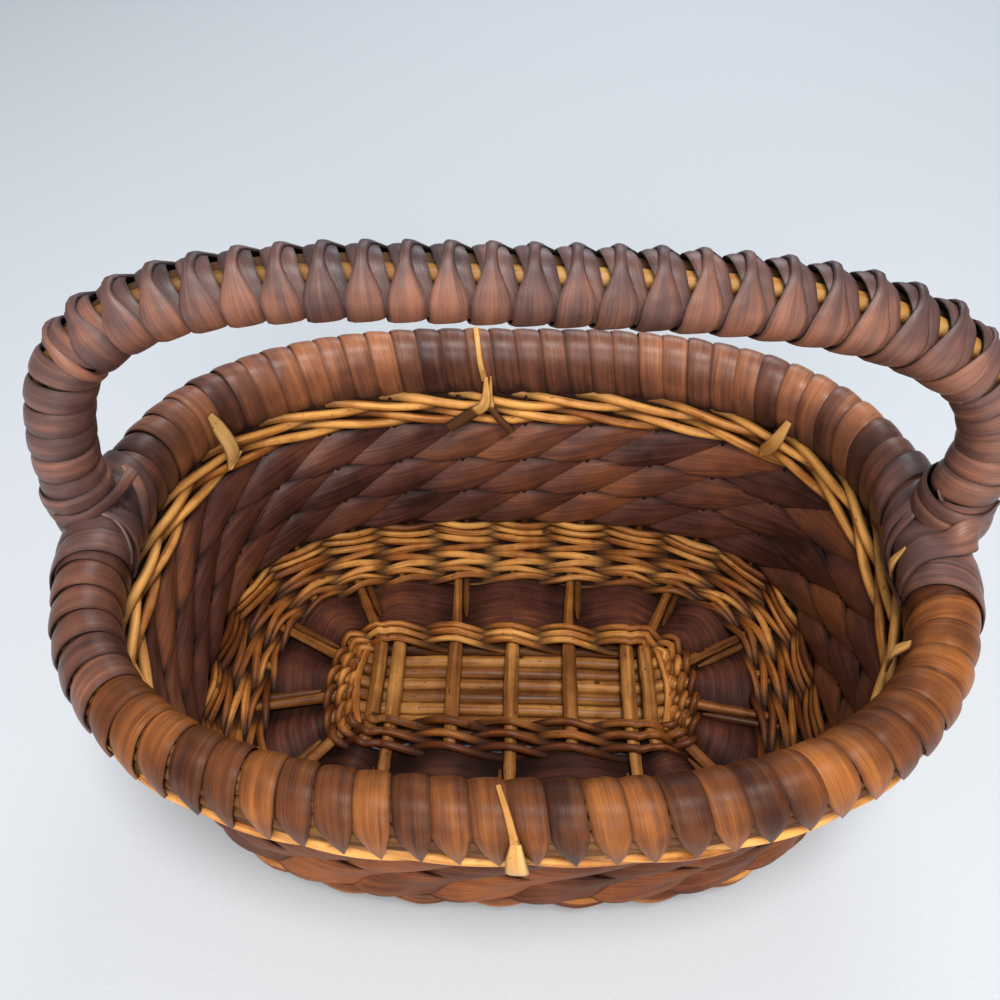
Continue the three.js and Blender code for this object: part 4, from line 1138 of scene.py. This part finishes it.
def on_rim(place, degrees, lift):
    """On the rim's winding: 90 degrees is on top, 0 outside and 180 inside."""
    out, up = math.cos(math.radians(degrees)), math.sin(math.radians(degrees))
    arm = lookup(RIM_OUT, place) * out / (RIM_THICKNESS / 2) + lookup(RIM_UP, place) * up / (RIM_DEPTH / 2)
    return rim_section(place, out, up) + unit(arm) * lift, unit(arm)


def on_leg(length, degrees, lift):
    """On the winding of the handle's leg."""
    point = handle_point(length, math.radians(degrees), LEG_CORE_RADIUS + LEG_WINDING_THICKNESS + lift)
    return point, unit(point - on_handle(HANDLE_CENTRE, length))


def on_wall(place, height, lift):
    """On the inner face of the wall or of the pale wale."""
    return wall_point(place, height, -PALE_REACH - lift), -wall_outward(place)


def band(strands, rows, tint, dark_from=1):
    """A narrow splint through rows of stops. Beyond a share of its length it turns dark: a browner bark tint
    and a painted shade.
    """
    rows = [row if callable(row[0]) else (on_rim, *row) for row in rows]
    stops = [where(*spot) for where, *spot, _ in rows]
    points, normals = (np.array(column) for column in zip(*stops))
    run = distances(points)
    wanted = np.linspace(0, run[-1], BAND_STEPS)
    path = smooth_through(points, run, wanted)
    facing = unit(smooth_through(normals, run, wanted))
    along = unit(np.gradient(path, axis=0))
    across = unit(np.cross(facing, along))
    width = np.interp(wanted, run, [row[-1] for row in rows])
    rings = splint_rings(path, across, np.cross(along, across), width, BAND_THICKNESS)
    # Beyond that share, a browner bark tint and a painted shade
    bark_and_shade = smooth_step(wanted / run[-1], dark_from, dark_from + BARK_FADE)[:, None]
    strands.add(rings, tint * mix(1, BARK_TINT, bark_and_shade), SPLINT_SHADE * mix(1, BARK_SHADE, bark_and_shade))


def make_lashing(side, length, heights, radii, saddles, bands):
    """Turns round the foot of the handle, splints across the top of the rim from outside at one place to
    inside at another, and bands that cross over them."""
    strands = Strands()
    foot_x = on_handle(HANDLE_CENTRE, length)[0]
    angle = np.linspace(0, TAU, 40, endpoint=False)
    arm = np.stack([np.cos(angle), np.sin(angle), np.zeros(40)], axis=-1)
    for height, radius in zip(heights, radii):
        slope = UP * (1.6 * np.sin(angle + rng.uniform(0, TAU)))[:, None]
        path = np.array([foot_x, 0, height]) + arm * radius + slope
        rings = splint_rings(path, np.broadcast_to(UP, path.shape), arm, FOOT_TURN_WIDTH, dome=0.15)
        strands.add(rings, rng.uniform(0.3, 0.6), SPLINT_SHADE, closed=True)
    for start, end, tint, width, lift in saddles:
        shares = np.linspace(0, 1, 9)
        rows = [(mix(start, end, s), mix(SADDLE_START, SADDLE_END, s), lift, width) for s in shares]
        band(strands, rows, tint)
    for tint, rows in bands:
        band(strands, rows, tint)
    strands.object(f"lashing_{side}", "splint_red_brown", BOW_SPLINT, f"handle_lashing_{side}")


def make_lashings():
    make_lashing("left", 0, (140, 133.5, 127), (11.9, 11.6, 10.8), [
        (18.62, 19.12, 0.5, 11.5, 0.5), (18.92, 19.42, 0.4, 11.5, 0.9), (20.30, 19.82, 0.45, 11.5, 0.7),
        (19.95, 19.55, 0.0, 12.5, 0.4),
    ], [
        (0.4, [(on_leg, 1, -70, 1.9, 6.5), (on_leg, 2.5, -115, 2.1, 6), (on_leg, 5, -155, 2.8, 5.4),
               (19.86, 122, 7.0, 4.4)]),
        (0.45, [(19.88, 112, 7.6, 4.4), (19.74, 136, 5.4, 5.6), (19.56, 166, 3.2, 5.4),
                (19.45, 210, 1.4, 3.0)]),
        (0.4, [(19.30, 96, 1.4, 4), (19.25, 112, 2.2, 3.4), (19.23, 138, 2.4, 3), (19.18, 170, 2.2, 2.6),
               (19.07, 208, 2.0, 2), (18.98, 224, 2.4, 0.6)]),
        (0.45, [(19.28, 108, 1.6, 1.6), (19.14, 140, 2.8, 1.4), (18.98, 166, 2.6, 1.4),
                (18.93, 184, 1.2, 1.2)]),
    ])
    make_lashing("right", HANDLE_LENGTH, (141, 134.5, 128), (12.3, 13.0, 12.2), [
        (7.62, 7.22, 0.6, 11.5, 0.5), (7.35, 6.95, 0.5, 12.5, 1.0), (5.55, 6.05, 0.5, 11.5, 0.6),
        (5.98, 6.45, 0.35, 11.5, 0.4), (7.00, 6.62, 0.2, 12.5, 0.5),
    ], [
        (0.42, [(on_leg, 434, -150, 0.3, 5.5), (6.12, 42, 3.2, 5.5), (6.25, 78, 3.0, 5.5),
                (6.40, 114, 2.6, 5.2), (6.50, 171, 2.4, 5.0), (6.70, 210, 3.4, 4.6), (7.08, 207, 3.0, 4.2),
                (7.40, 204, 1.2, 3.0)]),
        (0.55, [(on_leg, 438, -120, 0.3, 4.6), (6.30, 81, 2.2, 4.6), (6.55, 129, 2.0, 4.4),
                (6.70, 186, 2.4, 4.0), (6.95, 210, 2.2, 3.6), (7.25, 204, 1.0, 2.4)]),
        (0.5, [(7.22, 196, 1.2, 9), (7.18, 170, 2.0, 11), (7.08, 129, 2.6, 12), (7.05, 82, 3.6, 12),
               (on_leg, 440, -60, 0.8, 11), (on_leg, 436, -20, 0.8, 8)]),
    ])


def make_ties():
    """Each band of a tie is its rows and, for two of them, the share of its length where it turns dark."""
    ties = {
        "far_middle": [
            ([(25.45, 84, 1.0, 2.8), (25.47, 110, 1.4, 3.0), (25.52, 160, 1.4, 3.0),
              (25.58, 196, 1.2, 3.4)],),
            ([(25.60, 186, 1.6, 1.6), (on_wall, 25.54, 100, 5.0, 6.0), (on_wall, 25.36, 95, 3.0, 6.6),
              (on_wall, 25.0, 86.5, 1.4, 6.0)], 0.5),
            ([(25.66, 186, 1.0, 0.8), (on_wall, 25.66, 98, 3.4, 3.6), (on_wall, 25.95, 84, 1.2, 4.4)], 0.42),
        ],
        "far_left": [
            ([(21.50, 158, 1.0, 3.6), (21.56, 186, 1.6, 6.5), (on_wall, 21.58, 100, 4.6, 7.5),
              (on_wall, 21.48, 92, 1.4, 3.0)],),
            ([(on_wall, 21.46, 92, 2.2, 0.8), (on_wall, 21.75, 97, 2.2, 2.6)],),
        ],
        "far_right": [
            ([(3.97, 196, 1.0, 3.0), (on_wall, 3.92, 101, 4.4, 6.4), (on_wall, 3.82, 94, 2.2, 6.6),
              (on_wall, 3.76, 90, 1.0, 2.4)],),
        ],
        "right": [
            ([(8.36, 146, 1.0, 4.0), (8.40, 172, 2.6, 8.0), (8.44, 196, 2.4, 6.0)],),
            ([(6.98, 212, 2.4, 1.6), (6.94, 184, 3.0, 5.6), (6.94, 148, 2.6, 1.2)],),
        ],
        "near_middle": [
            ([(13.06, 104, 1.0, 1.8), (12.99, 74, 1.2, 2.2), (12.93, 46, 1.2, 2.6), (12.90, 26, 1.4, 3.4)],),
            ([(12.90, 32, 1.4, 3.4), (12.90, 12, 2.2, 6.0), (12.89, -8, 2.8, 7.2), (12.88, -30, 2.8, 7.4),
              (12.88, -46, 2.8, 5.0)],),
        ],
    }
    for name, bands in ties.items():
        strands = Strands()
        for rows, *dark_from in bands:
            band(strands, rows, rng.uniform(0.6, 0.95), *dark_from)
        strands.object(f"tie_{name}", "willow_pale", PALE_WILLOW, f"rim_tie_{name}")


# The stage, the lights and the camera

def add_stage():
    reach = 6.0
    mesh = bpy.data.meshes.new("floor")
    mesh.from_pydata([(x, y, 0.0) for x in (-reach, reach) for y in (-reach, reach)], [], [(0, 2, 3, 1)])
    look = Look("floor_paint", 0.1)
    grain = look.noise(900, 900, 2, 0.5, look.place)
    colour = look.mix(look.remap(grain, 0.3, 0.7), (0.61, 0.65, 0.69), (0.65, 0.69, 0.73))
    mesh.materials.append(look.finish(colour, look.remap(grain, 0.3, 0.7, 0.8, 0.9), grain, 0.05))
    floor = add_object("floor", mesh)


def add_lamp(name, place, target, size, power, colour):
    lamp = bpy.data.lights.new(name, "AREA")
    lamp.shape = "DISK"
    lamp.size = size
    lamp.energy = power
    lamp.color = colour
    made = add_object(name, lamp)
    made.location = place
    made.rotation_euler = (Vector(target) - Vector(place)).to_track_quat("-Z", "Y").to_euler()


def add_light():
    world = bpy.data.worlds.new("studio")
    bpy.context.scene.world = world
    world.use_nodes = True
    back = world.node_tree.nodes["Background"]
    back.inputs["Color"].default_value = (0.82, 0.87, 0.95, 1)
    back.inputs["Strength"].default_value = 0.38
    add_lamp("key", (0.12, -0.55, 1.6), (0, 0, 0.05), 0.6, 21, (1, 0.97, 0.94))
    add_lamp("front", (0.0, -1.4, 0.85), (0, 0, 0.1), 0.7, 12, (1, 0.92, 0.84))
    add_lamp("back", (0.3, 1.5, 1.2), (0, 0, 0.1), 0.9, 10, (0.90, 0.95, 1))


def add_camera():
    lens = bpy.data.cameras.new("view")
    lens.lens = CAMERA_LENS
    lens.sensor_width = 36
    camera = add_object("view", lens)
    tilt = Matrix.Rotation(math.radians(90 - CAMERA_PITCH), 4, "X")
    turn = Matrix.Rotation(math.radians(-CAMERA_YAW), 4, "Z")
    roll = Matrix.Rotation(math.radians(CAMERA_ROLL), 4, "Z")
    camera.matrix_world = Matrix.Translation((CAMERA_PLACE + OFFSET) * MM) @ turn @ tilt @ roll
    bpy.context.scene.camera = camera


bpy.context.scene.view_settings.view_transform = "Standard"
make_base_rods()
make_inner_twining()
make_base_splint()
make_base_wale()
make_stakes()
make_wall()
make_pale_wale()
make_rim_winding()
make_rim_rods()
make_handle_rods()
make_inner_winding()
make_outer_winding()
make_lashings()
make_ties()
add_stage()
add_light()
add_camera()
